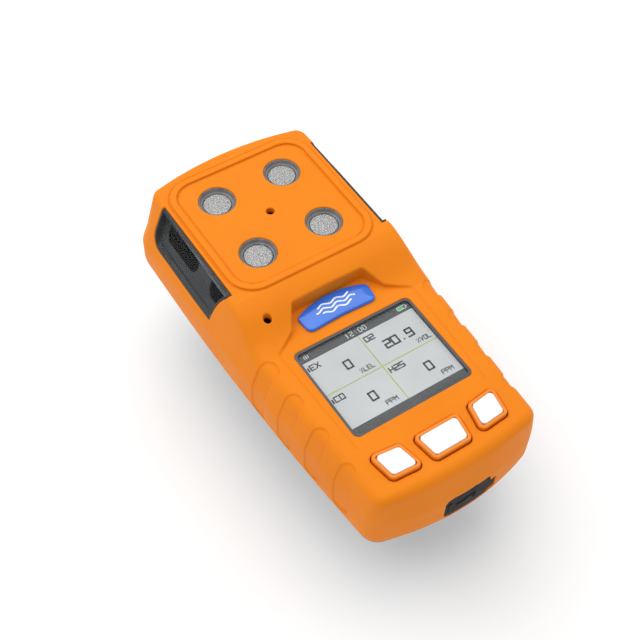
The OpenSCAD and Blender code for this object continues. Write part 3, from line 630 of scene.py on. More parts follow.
def noise(tree, size_mm, detail=2, stretch=(1, 1, 1)):
    """Noise with features of about size_mm, in the object's own space."""
    place = new_node(tree, "TexCoord").outputs["Object"]
    scaled = new_node(tree, "Mapping", {"Vector": place, "Scale": stretch}).outputs["Vector"]
    inputs = {"Vector": scaled, "Scale": 1/(size_mm*MM), "Detail": detail}
    return new_node(tree, "TexNoise", inputs).outputs["Fac"]


def spread(tree, value, low, high, start=0.3, end=0.7):
    """Maps a value between start and end to low and high."""
    return new_node(tree, "MapRange", {
        "Value": value, "From Min": start, "From Max": end, "To Min": low, "To Max": high}).outputs["Result"]


def mix_colour(tree, share, a, b):
    return new_node(tree, "Mix", {0: share, 6: a, 7: b}, data_type="RGBA").outputs[2]


MATERIALS = {}


def new_material(name):
    mat = MATERIALS[name] = bpy.data.materials.new(name)
    mat.use_nodes = True
    return mat, mat.node_tree


def surface(name, base, shade, rough, grain, depth, patch=9, rough_spread=0.06, stretch=(1, 1, 1),
            fleck=None, **shader):
    """Opaque material: base varies towards shade in soft patches, with a fine bumpy grain.
    Colours are display colours. fleck holds a colour, a size and a share."""
    mat, tree = new_material(name)
    out = tree.nodes["Principled BSDF"]
    patches = spread(tree, noise(tree, patch, 3, stretch), 0, 1)
    colour = mix_colour(tree, patches, rgb(*base), rgb(*shade))
    if fleck:
        fleck_colour, size, share = fleck
        spots = spread(tree, noise(tree, size, 1), 0, 1, 1 - share - 0.08, 1 - share + 0.08)
        colour = mix_colour(tree, spots, colour, rgb(*fleck_colour))
    tree.links.new(colour, out.inputs["Base Color"])
    wear = noise(tree, patch*0.6, 3, stretch)
    roughness = spread(tree, wear, rough - rough_spread, rough + rough_spread)
    tree.links.new(roughness, out.inputs["Roughness"])
    fine = noise(tree, grain, 2, stretch)
    bump = new_node(tree, "Bump", {"Height": fine, "Strength": 1, "Distance": depth*MM})
    tree.links.new(bump.outputs["Normal"], out.inputs["Normal"])
    for key, value in shader.items():
        out.inputs[key.replace("_", " ")].default_value = value
    return mat


def clear(name, tint, body_colour, body_share, rough=0.03, gloss_share=0.06):
    """Clear plastic with a faint body colour and a thin gloss, stronger at a flat angle."""
    mat, tree = new_material(name)
    tree.nodes.remove(tree.nodes["Principled BSDF"])
    through = new_node(tree, "BsdfTransparent", {"Color": tint})
    haze = new_node(tree, "BsdfDiffuse", {"Color": rgb(*body_colour)})
    haziness = spread(tree, noise(tree, 5), body_share*0.8, body_share*1.2)
    inner = new_node(tree, "MixShader", {0: haziness, 1: through.outputs[0], 2: haze.outputs[0]})
    gloss = new_node(tree, "BsdfGlossy", {"Color": (1, 1, 1, 1), "Roughness": rough})
    facing = new_node(tree, "LayerWeight", {"Blend": 0.12})
    share = spread(tree, facing.outputs["Fresnel"], gloss_share*0.5, gloss_share*2.5)
    mixed = new_node(tree, "MixShader", {0: share, 1: inner.outputs[0], 2: gloss.outputs[0]})
    tree.links.new(mixed.outputs[0], tree.nodes["Material Output"].inputs["Surface"])
    return mat


STEEL_BRUSH = (1, 0.06, 1)
surface("orange_shell", (238, 134, 18), (233, 129, 15), 0.55, 0.35, 0.006, patch=22,
    Specular_IOR_Level=0.15)
surface("charcoal_shell", (52, 53, 55), (44, 45, 47), 0.55, 0.4, 0.02, patch=14)
surface("black_rubber", (30, 31, 32), (22, 23, 24), 0.75, 0.25, 0.01)
surface("grey_plastic", (134, 134, 136), (114, 114, 116), 0.42, 0.3, 0.012, patch=3)
surface("brass", (200, 160, 90), (180, 138, 70), 0.3, 0.2, 0.004, Metallic=1)
surface("sintered_filter", (168, 167, 165), (104, 104, 106), 0.55, 0.2, 0.06, patch=0.5,
    fleck=((225, 225, 225), 0.3, 0.42), Metallic=0.35)
surface("sensor_plastic", (225, 225, 220), (212, 212, 206), 0.45, 0.3, 0.006)
surface("circuit_board", (20, 88, 48), (14, 70, 38), 0.3, 0.4, 0.01, patch=2.5,
    fleck=((200, 170, 90), 1.1, 0.3), Coat_Weight=0.4)
surface("connector_plastic", (228, 222, 200), (214, 206, 180), 0.45, 0.3, 0.005)
surface("display_bezel", (78, 79, 82), (66, 67, 70), 0.35, 0.25, 0.004)
clear("clear_window", (0.97, 0.98, 0.98, 1), (200, 205, 210), 0.008, gloss_share=0.02)
surface("display_panel", (203, 203, 204), (192, 192, 194), 0.5, 0.15, 0.001, patch=16)
surface("blue_badge", (26, 112, 222), (18, 100, 212), 0.22, 0.5, 0.002, patch=8, rough_spread=0.03,
    Coat_Weight=0.6)
surface("orange_key", (239, 136, 18), (234, 130, 15), 0.5, 0.3, 0.004, patch=6)
surface("white_key", (247, 247, 248), (240, 240, 242), 0.3, 0.3, 0.002, patch=4)
surface("silicone", (150, 152, 155), (138, 140, 144), 0.6, 0.3, 0.006)
surface("switch_metal", (190, 190, 192), (170, 170, 172), 0.35, 0.2, 0.004, Metallic=1)
clear("alarm_lens", (0.96, 0.965, 0.97, 1), (150, 155, 160), 0.004, gloss_share=0.015)
surface("reflector_plastic", (52, 53, 55), (40, 41, 43), 0.55, 0.4, 0.025, patch=3)
surface("led_epoxy", (120, 30, 26), (100, 24, 22), 0.15, 0.4, 0.002, Coat_Weight=1)
surface("black_plastic", (28, 28, 29), (20, 20, 21), 0.5, 0.3, 0.008)
surface("motor_can", (196, 196, 198), (176, 176, 178), 0.28, 0.3, 0.004, Metallic=1, stretch=STEEL_BRUSH)
surface("tungsten_weight", (120, 120, 122), (98, 98, 100), 0.5, 0.2, 0.02, Metallic=1)
surface("battery_wrap", (38, 84, 150), (30, 70, 132), 0.28, 2, 0.04, patch=6, Coat_Weight=0.5)
surface("plated_steel", (198, 198, 200), (180, 180, 183), 0.3, 0.25, 0.004, Metallic=1,
    stretch=STEEL_BRUSH)
surface("door_rubber", (27, 28, 30), (20, 21, 23), 0.66, 0.25, 0.01, patch=4, Specular_IOR_Level=0.25)
surface("screw_steel", (120, 121, 124), (100, 101, 104), 0.35, 0.2, 0.006, patch=2, Metallic=1)
surface("clip_steel", (196, 197, 199), (176, 177, 180), 0.38, 0.25, 0.008, patch=8, Metallic=1,
    stretch=(1, 0.15, 1))
surface("spring_steel", (170, 171, 174), (150, 151, 154), 0.3, 0.2, 0.004, patch=1, Metallic=1)
# Near-black copy of the reflector plastic: painted shade in the deep lamp pockets.
POCKET_SHADE = surface("pocket_painted_shade", (12, 12, 13), (8, 8, 9), 0.8, 0.3, 0.004, Specular_IOR_Level=0.1)
# Lighter grey copy of the reflector plastic: painted light on the strip along each window's front edge.
RIM_PAINTED_LIGHT = surface("reflector_rim", (78, 79, 82), (68, 69, 72), 0.45, 0.4, 0.01, patch=5)
SCREEN_COLOURS = [("ink", (34, 34, 36), (26, 26, 28)), ("bar", (66, 66, 68), (58, 58, 60)),
                  ("line", (168, 190, 66), (156, 180, 60)), ("charge", (60, 190, 90), (50, 176, 80)),
                  ("pale", (214, 214, 216), (202, 202, 204))]
INK, BAR, LINE, CHARGE, PALE = [surface("screen_" + name, base, shade, 0.5, 0.2, 0.001)
                                for name, base, shade in SCREEN_COLOURS]
BADGE_PRINT = surface("badge_print", (240, 246, 252), (232, 240, 250), 0.3, 0.2, 0.001, Coat_Weight=0.5)

for row in frame["record"]["subparts"]:
    for place in frame["nodes"][row["node"]].material_slots:
        place.material = MATERIALS[row["material_slot"]]


# ---- Shells ----
piece("front_shell_skin", front_shell, SHELL_LO, SHELL_HI, 0.36, ["front_shell"], "orange_shell", keep=0.3)
piece("rear_shell_skin", rear_shell, *box_mm("rear_shell"), 0.42, ["rear_shell"], "charcoal_shell",
      keep=0.35)


def shell_seal(p):
    """Soft ring between the shells, set back from their edges."""
    ring = np.maximum(body(p) + 0.3, -body(p) - WALL)
    return both(ring, between(p[2], SEAL_LO + 0.01, SEAL_HI - 0.01), 0.1)


piece("shell_seal_ring", shell_seal, *box_mm("shell_gasket"), 0.3, ["shell_gasket"], "black_rubber",
      keep=0.4)


# ---- Alarm windows ----
LENS_INSET, LENS_T = 0.25, 1.2
FRAME_T = 0.75  # dark edge round a lens


def lens_skin(p):
    """Clear skin just under the body's surface that closes a window's opening."""
    outer = body(p)
    return both(both(outer + LENS_INSET, -outer - LENS_INSET - LENS_T, 0.1), window(p, -FRAME_T), 0.12)


def behind_lens(d, p, ends):
    """Trims d to the window's opening, under the lens."""
    x, y, z = np.abs(p[0]), p[1], p[2]
    d = both(d, between(y, WINDOW_LOW_Y + 0.3, WINDOW_TOP_Y - 0.3), ends)
    d = both(d, body(p) + LENS_INSET + LENS_T + 0.1, 0.2)
    return both(d, np.where(x > WINDOW_X, window_profile(y, z, -0.2), window_profile(y, z, 3)), 0.1)


RIM_Z = HEAD_Z - 2.6


def reflector_rim(p):
    """Strip along the window's front edge, in a lighter grey: painted light on the reflector's top."""
    return behind_lens(block((np.abs(p[0]), p[2]), (26.12, RIM_Z), (28.2, HEAD_Z + 1), 0.2), p, 1.6)


def leaning_walls(p):
    """Two walls that meet in a crease, behind a lens."""
    low, high = WINDOW_Z - 1.6, HEAD_Z - WALL - 0.3
    section = [(22.6, low), (31.5, low), (31.5, WINDOW_Z + 0.3), (27.6, WINDOW_Z + 3.4), (25.2, RIM_Z),
               (25.2, high), (22.6, high)]
    return behind_lens(polygon(section, np.abs(p[0]), p[2], 0.2), p, 0.4)


def lamp_pockets(p):
    pockets = [block((np.abs(p[0]), p[1], p[2]), (23.4, y0, WINDOW_Z + 2.7), (30, y1, HEAD_Z + 3), 2.4)
               for y0, y1 in [(HEAD_Y - 2.5, HEAD_Y + 15), (HEAD_Y - 22, HEAD_Y - 10)]]
    return np.minimum(*pockets)


def lens_frame(p):
    """Edge that lines the opening round the lens."""
    outer = body(p)
    edge = both(window(p, -0.12), -window(p, 0.06 - FRAME_T), 0.1)
    under_head = np.minimum(RIM_Z - p[2], -window_profile(p[1], p[2], 0.06 - FRAME_T))
    return both(np.maximum(edge, under_head), both(outer + LENS_INSET - 0.05, -outer - 5, 0.1), 0.1)


def reflector(p):
    return np.minimum(without(leaning_walls(p), lamp_pockets(p), 0.15), lens_frame(p))


def pocket_shade_skin(p):
    """Thin near-black skin on the walls of the lamp pockets: painted shade."""
    skin = np.abs(lamp_pockets(p) + 0.17) - 0.15
    return np.maximum(skin, leaning_walls(p) + 0.05)


for side, sign in (("left", -1), ("right", 1)):
    lo, hi = sorted((sign*22.2, sign*34))
    place = (lo, WINDOW_LOW_Y, WINDOW_Z - 2), (hi, WINDOW_TOP_Y, HEAD_Z)
    piece(f"alarm_lens_{side}_skin", lens_skin, *place, 0.26, [f"alarm_lens_{side}"], "alarm_lens")
    piece(f"reflector_{side}_frame", reflector, *place, 0.26, [f"reflector_{side}"],
          "reflector_plastic", keep=0.5)
    # Lighter grey strip on the reflector's front edge: painted light.
    piece(f"reflector_{side}_rim", reflector_rim, *place, 0.22, [], "reflector_plastic",
          material=RIM_PAINTED_LIGHT, keep=0.5)
    # Near-black skin in the lamp pockets: painted shade on the reflector.
    piece(f"reflector_{side}_pockets", pocket_shade_skin, *place, 0.22, [], "reflector_plastic",
          material=POCKET_SHADE, keep=0.5)


# ---- Gas ports ----
CUP_FLOOR_Z = HEAD_Z - 1.6
CUP_TOP_Z = HEAD_Z - 0.3
MANIFOLD_Z = (HEAD_Z - WALL - 1.6, HEAD_Z - WALL)


def manifold(p):
    """Plate under the head with a cup in each port: conical wall, flat floor, filter's seat."""
    x, y, z = p
    plate = block((x, y), (-21.7, HEAD_Y - 25), (21.7, HEAD_Y + 25), 5)
    d = both(plate, between(z, *MANIFOLD_Z), 0.2)
    for port in PORTS:
        at = port[:2]

        def well(q):
            reach = np.hypot(q[0] - at[0], q[1] - at[1])
            cone = (reach - 5 - 0.3*(q[2] - CUP_FLOOR_Z))*0.96
            wall = both(cone, CUP_FLOOR_Z - q[2], 0.25)
            seat = both(reach - 4.45, port[2] - 0.3 - q[2])
            return np.minimum(np.minimum(wall, seat), upright(at, 3.4, 30, 50)(q))

        cup = upright(at, PORT_R - 0.05, MANIFOLD_Z[0], CUP_TOP_Z, 0.15)
        attach(d, p, *around(at, 6, MANIFOLD_Z[0], HEAD_Z), cup, 0.2)
        carve(d, p, *around(at, 6, MANIFOLD_Z[0] - 1, HEAD_Z + 1), well, 0.12)
    carve(d, p, *around(PORTS_MIDDLE, 3, *MANIFOLD_Z), upright(PORTS_MIDDLE, 2.05, 30, 50))
    return d


piece("port_cups", manifold, (-22, HEAD_Y - 25.5, MANIFOLD_Z[0]), (22, HEAD_Y + 25.5, HEAD_Z), 0.3,
      ["gas_manifold"], "grey_plastic", keep=0.35)


def grainy_disc(name, centre, r, z0, z1, seed):
    """Sintered disc: a bevelled rim and a top of fused grains."""
    rng = np.random.default_rng(seed)
    around, rings = 72, [0.9, 1.7, 2.4, 3, 3.5, 3.9]
    profile = [(ring, z1) for ring in rings] + [(r - 0.12, z1), (r, z1 - 0.12), (r, z0), (r*0.5, z0)]
    points = [(0, 0, z1)]
    for k, (radius, z) in enumerate(profile):
        for a in 2*np.pi*(np.arange(around) + 0.5*(k % 2))/around:
            lift = 0.05*(rng.random() - 0.5) if k < len(rings) else 0
            points.append((radius*math.cos(a), radius*math.sin(a), z + lift))
    points.append((0, 0, z0))
    last = len(points) - 1
    faces = [(0, 1 + j, 1 + (j + 1) % around) for j in range(around)]
    for k in range(len(profile) - 1):
        a, b = 1 + k*around, 1 + (k + 1)*around
        faces += [(a + j, b + j, b + (j + 1) % around, a + (j + 1) % around) for j in range(around)]
    end = 1 + (len(profile) - 1)*around
    faces += [(end + j, last, end + (j + 1) % around) for j in range(around)]
    obj = mesh_object(name, np.array(points) + (centre[0], centre[1], 0), faces)
    obj.data.shade_smooth()
    obj.data.set_sharp_from_angle(angle=math.radians(50))
    return obj


for k in range(1, 5):
    lo, hi = box_mm(f"port_filter_{k}")
    disc = grainy_disc(f"sintered_disc_{k}", (lo + hi)/2, (hi[0] - lo[0])/2, lo[2], hi[2], k)
    settle(disc, "sintered_filter", [f"port_filter_{k}"])


# ---- Strokes: thin raised lines and letters ----
def stroke_mesh(name, lines, width, height, thickness):
    """Flat strokes with round ends along lines of (x, y), on a surface of height(x, y)."""
    points, faces = [], []
    for n, line in enumerate(lines):
        for a, b in zip(line[:-1], line[1:]):
            a, b = np.array(a, float), np.array(b, float)
            turn = math.atan2(*(b - a)[::-1]) if np.any(a != b) else 0
            steps = max(1, int(np.linalg.norm(b - a)/1.5))
            left, right = (
                [end + width/2*np.array((math.cos(turn + t), math.sin(turn + t)))
                 for t in np.linspace(first*math.pi/2, last*math.pi/2, 7)]
                for end, first, last in ((a, 1, 3), (b, -1, 1)))
            side = width/2*np.array((-math.sin(turn), math.cos(turn)))
            lower = [a + (b - a)*k/steps - side for k in range(1, steps)]
            upper = [b + (a - b)*k/steps + side for k in range(1, steps)]
            outline = left + lower + right + upper
            base, count = len(points), len(outline)
            lift = thickness + 0.0008*(n % 7)
            points += [(u, v, height(u, v) + lift) for u, v in outline]
            points += [(u, v, height(u, v) - thickness) for u, v in outline]
            faces.append(tuple(range(base, base + count)))
            faces.append(tuple(range(base + 2*count - 1, base + count - 1, -1)))
            faces += [(base + k, base + count + k, base + count + (k + 1) % count, base + (k + 1) % count)
                      for k in range(count)]
    return mesh_object(name, points, faces)


# Strokes of the letters, first those that run between the nine places of a number pad
PAD_LETTERS = {"0": "13971", "O": "13971", "2": "796413", "9": "139746", "X": "19 73", "C": "9713",
               "L": "713", "H": "17 39 46", "S": "974631", "V": "729", "P": "17964", "M": "17593"}
LETTERS = {
    "1": [[(0.5, 0), (0.5, 1), (0.2, 0.8)]], ":": [[(0.5, 0.25)]*2, [(0.5, 0.75)]*2], ".": [[(0.5, 0.05)]*2],
    "E": [[(1, 1), (0, 1), (0, 0), (1, 0)], [(0, 0.5), (0.8, 0.5)]],
    "%": [[(0.05, 0), (0.95, 1)], [(0.05, 0.95), (0.05, 0.75)], [(0.95, 0.05), (0.95, 0.25)]],
}
for letter, strokes in PAD_LETTERS.items():
    LETTERS[letter] = [[((int(k) - 1) % 3/2, (int(k) - 1)//3/2) for k in line] for line in strokes.split()]


def word(text, x, y, size, pitch):
    """Strokes of a word whose middle is at x, y."""
    w, h = size
    start = x - (pitch*(len(text) - 1) + w)/2
    return [[(start + pitch*k + w*u, y + h*(v - 0.5)) for u, v in line]
            for k, letter in enumerate(text) for line in LETTERS[letter]]


# ---- Display ----
HALF_W, HALF_L = 19.05, 15.25
LAYERS = [LCD_Z + 0.012*k for k in range(1, 6)]


def screen_patch(name, lo, hi, material, corner=0.05, layer=1):
    """Thin slab with rounded corners on the display."""
    arc = [(corner*(1 - math.cos(a)), corner*(1 - math.sin(a))) for a in np.linspace(0, math.pi/2, 6)]
    (x0, y0), (x1, y1) = (lo[0], lo[1] + DISPLAY_Y), (hi[0], hi[1] + DISPLAY_Y)
    outline = [(x0 + u, y0 + v) for u, v in arc] + [(x1 - u, y0 + v) for u, v in reversed(arc)]
    outline += [(x1 - u, y1 - v) for u, v in arc] + [(x0 + u, y1 - v) for u, v in reversed(arc)]
    n = len(outline)
    faces = [tuple(range(n - 1, -1, -1)), tuple(range(n, 2*n))]
    faces += [(k, (k + 1) % n, n + (k + 1) % n, n + k) for k in range(n)]
    points = [(*p, z) for z in (LCD_Z, LAYERS[layer]) for p in outline]
    settle(mesh_object(name, points, faces), "display_panel", material=material)


def on_screen(lines, name, width, material):
    moved = [[(x, y + DISPLAY_Y) for x, y in line] for line in lines]
    strokes = stroke_mesh(name, moved, width, lambda x, y: LAYERS[3], 0.012)
    settle(strokes, "display_panel", material=material)


BAR_TOP, BAR_LOW = 12.4, -12.6
screen_patch("screen_sheet", (-HALF_W, BAR_LOW), (HALF_W, BAR_TOP), MATERIALS["display_panel"])
screen_patch("screen_top_bar", (-HALF_W, BAR_TOP), (HALF_W, HALF_L), BAR)
screen_patch("screen_low_bar", (-HALF_W, -HALF_L), (HALF_W, BAR_LOW), BAR)
on_screen([[(0, BAR_LOW + 0.2), (0, BAR_TOP - 0.2)], [(-HALF_W + 0.3, 0), (HALF_W - 0.3, 0)]],
          "screen_grid", 0.28, LINE)
SMALL, LARGE = (1.25, 1.7), (1.9, 2.7)
labels = word("EX", -16.1, 10.1, SMALL, 1.75) + word("O2", 2.4, 10.1, SMALL, 1.75)
labels += word("CO", -16.1, -2.3, SMALL, 1.75) + word("H2S", 3.3, -2.3, SMALL, 1.75)
on_screen(labels, "screen_labels", 0.38, INK)
values = word("0", -7.8, 5.7, LARGE, 2.9) + word("20.9", 9.6, 5.7, LARGE, 2.5)
values += word("0", -7.8, -6.7, LARGE, 2.9) + word("0", 11.3, -6.7, LARGE, 2.9)
on_screen(values, "screen_values", 0.55, INK)
units = word("%LEL", -3.9, 1.9, (0.85, 1.4), 1.2) + word("%VOL", 15.7, 1.9, (0.85, 1.4), 1.2)
units += word("PPM", -4.2, -10.6, (0.95, 1.4), 1.35) + word("PPM", 14.9, -10.6, (0.95, 1.4), 1.35)
on_screen(units, "screen_units", 0.24, INK)
on_screen([[(-18.3, y - 0.55), (-18.3, y + 0.55)] for y in (9.9, -2.5)], "screen_ticks", 0.5,
          MATERIALS["black_plastic"])
clock = word("12:00", 0.3, 14, (0.95, 1.5), 1.5)
charge_frame = [[(15, 13.45), (17.9, 13.45), (17.9, 14.65), (15, 14.65), (15, 13.45)],
                [(18.25, 13.9), (18.25, 14.2)]]
speaker = [[(-17.2, 13.6), (-17.2, 14.4)], [(-16.6, 13.4), (-16.6, 14.6)], [(-16, 13.6), (-16, 14.4)]]
on_screen(clock + charge_frame + speaker, "screen_icons", 0.26, PALE)
screen_patch("screen_charge", (15.15, 13.6), (17.1, 14.5), CHARGE, layer=4)
GLASS_LO, GLASS_HI = box_mm("display_window")


def window_pane(p):
    plan = block(p[:2], GLASS_LO[:2], GLASS_HI[:2], 1.4)
    return both(plan, between(p[2], GLASS_LO[2], GLASS_HI[2]), 0.15)


piece("display_pane", window_pane, GLASS_LO, GLASS_HI, 0.3, ["display_window"], "clear_window", keep=0.2)


# ---- Badge: a domed plate with a plain wave ----
BADGE_LO, BADGE_HI = box_mm("badge")


CROWN_HALF, CROWN_RISE = 12.3, 2.8
CROWN_R = (CROWN_HALF*CROWN_HALF + CROWN_RISE*CROWN_RISE)/(2*CROWN_RISE)
CROWN_TURN = math.asin(CROWN_HALF/CROWN_R)
CROWN = [(CROWN_R*math.sin(a), HEAD_Y - 31.2 - CROWN_R*(1 - math.cos(a)))
         for a in np.linspace(CROWN_TURN, -CROWN_TURN, 13)]
BADGE_OUTLINE = [(11.6, HEAD_Y - 40.3)] + CROWN + [(-11.6, HEAD_Y - 40.3), (0, HEAD_Y - 39.8)]


def badge_top(x, y):
    """Height of the badge's domed face."""
    inset = -polygon(BADGE_OUTLINE, np.asarray(x, float), np.asarray(y, float))
    return BADGE_HI[2] - 0.45 + 0.45*(1 - np.exp(-np.maximum(inset, 0)/1.6))


def badge(p):
    plan = polygon(BADGE_OUTLINE, p[0], p[1], 1.9)
    return both(both(plan, p[2] - badge_top(p[0], p[1]), 0.5), BADGE_LO[2] - p[2])


piece("badge_plate", badge, BADGE_LO, BADGE_HI, 0.2, ["badge"], "blue_badge", keep=0.5)
waves = []
for row, (start, length) in enumerate([(-5.4, 10.8), (-6.6, 13.2), (-4.8, 9.6)]):
    across = np.linspace(start, start + length, 40)
    waves.append([(x, HEAD_Y - 34.3 - 1.45*row + 0.42*math.sin(1.35*x + 0.6*row)) for x in across])
wave = stroke_mesh("badge_wave", waves, 0.5, lambda x, y: float(badge_top(x, y)), 0.02)
settle(wave, "blue_badge", material=BADGE_PRINT)


# ---- Keys ----
for side, outline in KEYS.items():
    CAP_LO, CAP_HI = box_mm(f"key_cap_{side}")
    FACE_LO, FACE_HI = box_mm(f"key_face_{side}")
    middle = np.mean(outline, axis=0)

    def key_cap(p):
        edge = polygon(outline, p[0], p[1], 0.3)
        stem = round_rod(p, 2, middle, 1.6, CAP_LO[2], CAP_LO[2] + 1)
        flange_z = (CAP_LO[2] + 0.4, INNER_Z - 0.3)
        d = either(both(edge - CAP_BORDER, between(p[2], flange_z[0], CAP_HI[2]), 0.45),
                   both(edge - CAP_BORDER - 1, between(p[2], *flange_z), 0.15))
        return without(either(d, stem, 0.2), np.maximum(edge - FACE_GROWTH - 0.06, FACE_LO[2] - p[2]), 0.12)

    def key_face(p):
        edge = polygon(outline, p[0], p[1], 0.9) - FACE_GROWTH
        return both(edge, between(p[2], FACE_LO[2], FACE_HI[2]), 0.22)

    piece(f"key_ring_{side}", key_cap, CAP_LO, CAP_HI, 0.2, [f"key_cap_{side}"], "orange_key",
          f"key_{side}", keep=0.6)
    piece(f"key_top_{side}", key_face, FACE_LO - FACE_GROWTH, FACE_HI + FACE_GROWTH, 0.16,
          [f"key_face_{side}"], "white_key", f"key_{side}", keep=0.4)


# ---- Socket door ----
def socket_door(p):
    """Arched rubber door: strap, raised plug sign, pull lip, and the frame that fills the opening."""
    x, y, z = p
    depth = -bottom_end(x, y, z)
    mid = DOOR_MID_Z
    d = both(door_outline(x, z), between(depth, 0.3, DOOR_T), 0.3)
    spot = x - DOOR_X + 0.4, z - mid
    head = block(spot, (-1, -1.1), (1.6, 1.1), 0.9)
    prongs = np.minimum(block(spot, (1, 0.3), (3.1, 0.85), 0.2),
                        block(spot, (1, -0.85), (3.1, -0.3), 0.2))
    lead = block(spot, (-3.6, -0.3), (-0.8, 0.3), 0.25)
    sign = np.minimum(np.minimum(head, prongs), lead)
    d = either(d, both(sign, between(depth, 0.04, 0.8), 0.08), 0.05)
    lip = block((x, z), (DOOR_X - 6.6, mid - 2.2), (DOOR_X - 5.7, mid + 2.2), 0.4)
    d = either(d, both(lip, between(depth, 0.05, 0.8), 0.15), 0.15)
    end = -TOP_Y
    outer = block(p, (DOOR_X - 4.7, end + 1.1, mid - 2.6), (DOOR_X + 4.7, end + 2.9, mid + 2.6), 0.3)
    inner = block(p, (DOOR_X - 4.1, end + 2.2, mid - 2), (DOOR_X + 4.1, end + 6, mid + 2), 0.3)
    return either(d, without(outer, inner, 0.1), 0.15)


piece("socket_door_cover", socket_door, DOOR_LO, DOOR_HI, 0.2, ["usb_door"], "door_rubber", "socket_door",
      keep=0.6)


# ---- Belt clip ----
PIN = (PIVOT_Y, PIVOT_Z)
BASE_LO, BASE_HI = box_mm("clip_base")
LEVER_LO, LEVER_HI = box_mm("clip_lever")
SHEET_T = 1.2


def ears(p, x_mid, root_z):
    """Pair of lugs round the hinge pin that rise from a sheet at root_z."""
    x, y, z = np.abs(p[0]), p[1], p[2]
    eye = np.hypot(y - PIVOT_Y, z - PIVOT_Z) - 2.4
    lo, hi = sorted((PIVOT_Z, root_z))
    neck = np.maximum(between(y, PIVOT_Y - 2.4, PIVOT_Y + 2.4), between(z, lo, hi))
    return both(either(eye, neck, 0.3), between(x, x_mid - 0.5, x_mid + 0.5), 0.12)


def clip_base(p):
    x, y, z = p
    plan = block((x, y), (BASE_LO[0], 2), (12, 33), 2)
    d = both(plan, between(z, REAR_Z - SHEET_T, REAR_Z), 0.15)
    d = either(d, ears(p, 11, REAR_Z - SHEET_T + 0.3), 0.4)
    for at in CLIP_SCREWS:
        d = without(d, upright(at, 1.6, 0, 20)(p), 0.12)
    return without(d, round_rod(p, 0, PIN, 1.22, -20, 20), 0.05)


def clip_lever(p):
    x, y, z = p
    width = LEVER_HI[0]
    plan = block((x, y), (-width, LEVER_LO[1]), (width, LEVER_HI[1]), 3)
    channel = block((x, y), (-2, LEVER_LO[1] + 9), (2, PIVOT_Y - 6), 1.9)
    dish = 0.45*np.clip(0.5 - channel/1.2, 0, 1)
    d = both(plan, np.maximum(dish - z, z - SHEET_T - dish), 0.2)
    tip = block((x, z), (-width + 1, 0), (width - 1, LEVER_HI[2]), 1)
    d = either(d, both(tip, between(y, LEVER_LO[1], LEVER_LO[1] + SHEET_T), 0.2), 0.8)
    d = both(d, np.hypot(np.maximum(LEVER_LO[1] + 1.6 - y, 0), np.maximum(1.6 - z, 0)) - 1.6, 0.1)
    d = either(d, ears(p, 9.3, SHEET_T*0.6), 0.3)
    for k in range(-4, 5):
        tooth = np.hypot(x - 2*k, z - LEVER_HI[2]) - 0.55
        d = without(d, np.maximum(tooth, y - LEVER_LO[1] - 3), 0.08)
    for k in range(5):
        groove = np.hypot(y - LEVER_HI[1] + 3 + 1.8*k, z) - 0.4
        d = without(d, np.maximum(groove, np.abs(x) - width + 2.5), 0.15)
    return without(d, round_rod(p, 0, PIN, 1.25, -20, 20), 0.05)


def clip_pin(p):
    rod = round_rod(p, 0, PIN, 1.2, -12.1, 12.1, 0.2)
    heads = both(np.hypot(p[1] - PIVOT_Y, p[2] - PIVOT_Z) - 1.7, between(np.abs(p[0]), 11.6, 12.4), 0.3)
    return np.minimum(rod, heads)


piece("clip_base_plate", clip_base, BASE_LO, BASE_HI, 0.27, ["clip_base"], "clip_steel", keep=0.4)
piece("clip_lever_plate", clip_lever, LEVER_LO, LEVER_HI, 0.27, ["clip_lever"], "clip_steel", "clip",
      keep=0.5)
piece("clip_pin_rivet", clip_pin, *box_mm("clip_pin"), 0.2, ["clip_pin"], "clip_steel", keep=0.6)


COIL_R, WIRE_R, COIL_X, TURNS = 2, 0.4, 4.5, 11
COIL_STEPS = 28  # straight pieces in a turn


def wire(name, points, body_name, nodes=()):
    curve = bpy.data.curves.new(name, "CURVE")
    curve.dimensions = "3D"
    curve.bevel_depth, curve.bevel_resolution, curve.use_fill_caps = WIRE_R*MM, 4, True
    spline = curve.splines.new("POLY")
    spline.points.add(len(points) - 1)
    for spot, place in zip(spline.points, points):
        spot.co = (*(np.array(place)*MM), 1)
    path = linked(name + "_path", curve)
    shape = made_mesh(path)
    bpy.data.objects.remove(path)
    shape.shade_smooth()
    settle(linked(name, shape), "spring_steel", nodes, body_name)


coil = []
last = TURNS*COIL_STEPS + COIL_STEPS//2
for k in range(last + 1):
    a = 2*math.pi*k/COIL_STEPS + math.pi/2
    share = k/last
    coil.append((COIL_X - 2*COIL_X*share, PIVOT_Y + COIL_R*math.cos(a), PIVOT_Z + COIL_R*math.sin(a)))
front_leg = [(COIL_X, PIVOT_Y + 7, PIVOT_Z + COIL_R)]
rear_leg = [(-COIL_X, y, PIVOT_Z - COIL_R) for y in (PIVOT_Y, PIVOT_Y + 9)]
wire("clip_spring_coil", front_leg + coil, "housing", ["clip_spring"])
wire("clip_spring_leg", rear_leg, "clip")


# ---- Screws ----
def screw(head_r, head_h, shank, socket_r, socket_h):
    """Field of a screw that points up from z = 0, with a six-sided socket."""
    def field(p):
        x, y, z = p
        reach = np.hypot(x, y)
        head = both(reach - head_r, between(z, 0, head_h), 0.35)
        d = np.minimum(head, both(reach - 1.2, between(z, 0, shank), 0.2))
        slants = np.maximum(np.abs(x), np.abs(x*0.5 + y*0.866)), np.abs(x*0.5 - y*0.866)
        return without(d, np.maximum(np.maximum(*slants) - socket_r*0.866, z - socket_h), 0.08)
    return field


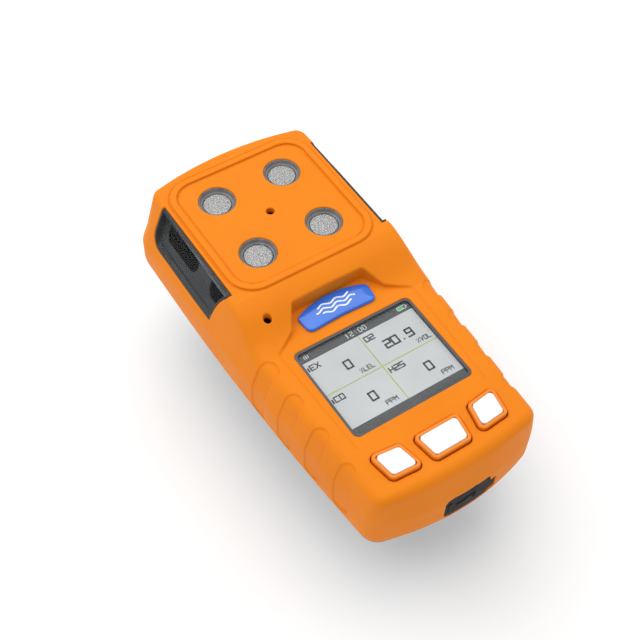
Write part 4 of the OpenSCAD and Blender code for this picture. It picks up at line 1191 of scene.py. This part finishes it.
CASE_HEAD_Z = REAR_Z + 0.9
CLIP_HEAD_Z = REAR_Z - SHEET_T - 1.2
piece("case_screw_set", screw(2.4, 2.05, 12.4, 1.1, 1.2), *around((0, 0), 2.4, 0, 12.4), 0.18,
      ["case_screws"], "screw_steel", keep=0.5, copies=[(*c, CASE_HEAD_Z) for c in CASE_SCREWS])
piece("clip_screw_set", screw(2.6, 1.2, 7, 1.2, 0.7), *around((0, 0), 2.6, 0, 7), 0.18,
      ["clip_screws"], "screw_steel", keep=0.5, copies=[(*c, CLIP_HEAD_Z) for c in CLIP_SCREWS])


# ---- Camera, light and floor ----
def aim(azimuth, elevation, roll):
    """Rotation of a camera that looks down along an azimuth, from +Y towards +X, and rolls."""
    a, e, r = map(math.radians, (azimuth, elevation, roll))
    ahead = Vector((math.sin(a)*math.cos(e), math.cos(a)*math.cos(e), -math.sin(e)))
    level = ahead.cross(Vector((0, 0, 1))).normalized()
    right = level*math.cos(r) + level.cross(ahead)*math.sin(r)
    up = right.cross(ahead)
    return Matrix((right, up, -ahead)).transposed().to_4x4()


lens = bpy.data.cameras.new("camera")
lens.sensor_width = 36
lens.lens = 65.56
camera = linked("camera", lens)
camera.matrix_world = Matrix.Translation((-0.12176, -0.16698, 0.30722)) @ aim(35.08, 53.26, 2.42)
lens.clip_start, lens.clip_end = 0.01, 10
bpy.context.scene.camera = camera


def soft_light(name, place, size, watts):
    """Round lamp that faces the object."""
    lamp = bpy.data.lights.new(name, "AREA")
    lamp.shape, lamp.size, lamp.energy = "DISK", size, watts
    obj = linked(name, lamp)
    obj.location = place
    obj.rotation_euler = (Vector((0, 0, 0.03)) - Vector(place)).to_track_quat("-Z", "Y").to_euler()


soft_light("key", (-0.15, 0.35, 0.9), 1.5, 8.4)
soft_light("side", (0.9, -0.1, 0.5), 0.6, 1.4)
world = bpy.data.worlds.new("studio")
bpy.context.scene.world = world
world.use_nodes = True
sky = world.node_tree.nodes["Background"].inputs
sky["Color"].default_value = (1, 1, 1, 1)
sky["Strength"].default_value = 0.58
bpy.context.scene.view_settings.view_transform = "Standard"

FLOOR_Z = -14.0  # clear of the belt clip's whole travel
FLOOR_R = 2000
floor_corners = [(u*FLOOR_R, v*FLOOR_R, FLOOR_Z) for u, v in [(-1, -1), (1, -1), (1, 1), (-1, 1)]]
floor = mesh_object("floor", floor_corners, [(0, 1, 2, 3)])
floor.data.materials.append(surface(
    "floor_paper", (246, 246, 246), (243, 243, 243), 0.9, 2.0, 0.02, patch=80,
    Emission_Color=(1, 1, 1, 1), Emission_Strength=0.1))
floor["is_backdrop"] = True

{name: [list(corner) for corner in box] for name, box in (("cad", cad_box), ("visual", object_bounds()))}
